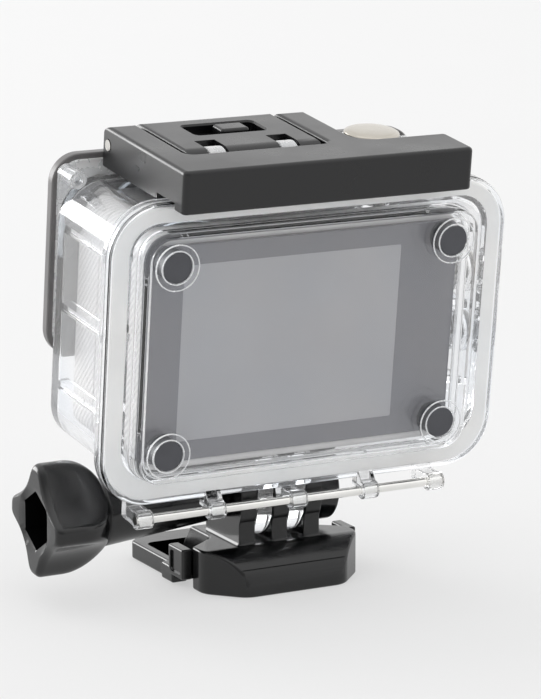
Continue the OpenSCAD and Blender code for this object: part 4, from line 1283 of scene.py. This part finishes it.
def dress_kept_nodes() -> None:
    """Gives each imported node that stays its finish."""
    finishes = dict(KEPT_NODES)
    for button in BUTTONS:
        finishes |= {f"{button}_spring": SPRING_STEEL, f"{button}_oring": BLACK_RUBBER,
                     f"{button}_clip": SPRING_STEEL, f"{button}_key": COVER}
    for name, finish in finishes.items():
        node = frame["nodes"][name]
        node.data.materials.clear()
        node.data.materials.append(finish.material())
        LOG.info("%s keeps its packed shape, as %s", name, finish.name)


# ---------- Studio ----------


@dataclass(frozen=True)
class Studio:
    """Pale floor, soft light all round and the camera."""

    azimuth: float = 152.21
    elevation: float = 12.37
    distance: float = 631.21
    target: Point3 = (-1.62, 0, 40.06)
    lens: float = 187.8
    floor_half: float = 6000
    background: str = "#efefef"
    floor: str = "#949494"
    floor_glow: float = 0.5
    sky: Point = (1.2, 0.5)
    sun: float = 0.35
    sun_angle: float = 70
    softbox: float = 14.0
    softbox_size: Point = (0.9, 0.7)
    softbox_side: Point3 = (0.52, -0.83, 0.2)
    softbox_away: float = 1.5

    def camera(self) -> None:
        """Adds the camera."""
        a, e = math.radians(self.azimuth), math.radians(self.elevation)
        back = Vector((math.sin(a) * math.cos(e), -math.cos(a) * math.cos(e), math.sin(e)))
        data = bpy.data.cameras.new("view")
        data.sensor_width = 36
        data.lens = self.lens
        data.clip_start, data.clip_end = 0.01, 50
        camera = bpy.data.objects.new("view", data)
        camera.location = (Vector(self.target) + back * self.distance) * MM
        camera.rotation_euler = (-back).to_track_quat("-Z", "Y").to_euler()
        bpy.context.scene.collection.objects.link(camera)
        bpy.context.scene.camera = camera

    def stage(self) -> None:
        """Adds the floor just under the buckle."""
        half = self.floor_half
        floor = box((-half, half), (-half, half), (-20, -0.02))
        floor.data.transform(Matrix.Scale(MM, 4))
        floor.name = "Floor"
        finish = Finish("Lit matt floor", "floor", self.floor, self.floor, 0.9, 0.02, 1.3, grain=3,
                        depth=0.002, patch=60, glow=self.floor_glow)
        floor.data.materials.append(finish.material())

    def light(self) -> None:
        """Adds an even bright sky that dims towards the side of the view, and one broad soft lamp."""
        world = bpy.data.worlds.new("studio")
        bpy.context.scene.world = world
        world.use_nodes = True
        tree = world.node_tree
        tree.nodes.clear()
        a = math.radians(self.azimuth)
        seen_from = (math.sin(a), -math.cos(a), 0)
        toward = add_node(tree, "VectorMath", {"operation": "DOT_PRODUCT", "in:1": seen_from},
                          i0=add_node(tree, "TexCoord").outputs["Generated"])
        dim = add_node(tree, "MapRange", {"interpolation_type": "SMOOTHSTEP", "in:From Min": 0.2,
                                          "in:From Max": 0.95, "in:To Min": self.sky[0],
                                          "in:To Max": self.sky[1]},
                       Value=toward.outputs["Value"])
        sky = add_node(tree, "Background", {"in:Color": (1, 1, 1, 1)}, Strength=dim.outputs["Result"])
        seen = add_node(tree, "Background", {"in:Color": linear(self.background)})
        path = add_node(tree, "LightPath")
        mixed = add_node(tree, "MixShader", None, Fac=path.outputs["Is Camera Ray"],
                         i1=sky.outputs["Background"], i2=seen.outputs["Background"])
        add_node(tree, "OutputWorld", None, Surface=mixed.outputs["Shader"])
        data = bpy.data.lights.new("overhead", "SUN")
        data.energy = self.sun
        data.angle = math.radians(self.sun_angle)
        lamp = bpy.data.objects.new("overhead", data)
        lamp.rotation_euler = (math.radians(-18), math.radians(14), 0)
        bpy.context.scene.collection.objects.link(lamp)
        panel = bpy.data.lights.new("softbox", "AREA")
        panel.shape = "RECTANGLE"
        panel.size, panel.size_y = self.softbox_size
        panel.energy = self.softbox
        box_lamp = bpy.data.objects.new("softbox", panel)
        away = Vector(self.softbox_side).normalized()
        box_lamp.location = away * self.softbox_away
        box_lamp.rotation_euler = away.to_track_quat("Z", "Y").to_euler()
        bpy.context.scene.collection.objects.link(box_lamp)

    def build(self) -> None:
        """Sets up the studio and how far light is followed through clear walls."""
        self.camera()
        self.stage()
        self.light()
        scene = bpy.context.scene
        scene.view_settings.view_transform = "Standard"
        cycles = scene.cycles
        cycles.max_bounces, cycles.transmission_bounces = 20, 18
        cycles.glossy_bounces, cycles.diffuse_bounces, cycles.transparent_max_bounces = 8, 3, 12
        cycles.caustics_refractive = False
        cycles.caustics_reflective = False


def main() -> None:
    """Builds the pieces in order; each piece logs its face count as it is placed."""
    logging.basicConfig(level=logging.INFO, format="%(message)s", force=True)
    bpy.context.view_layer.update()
    Studio().build()
    lines, at = RimOutlines(), ShellSizes()
    Buckle().build()
    ThumbKnob().build()
    Shell(lines, at).build()
    Door(lines, at).build()
    Latch(at).build()
    Front(lines, at).build()
    CameraBody(at).build()
    for button in buttons(at):
        button.build()
    dress_kept_nodes()


if __name__ == "__main__":
    main()
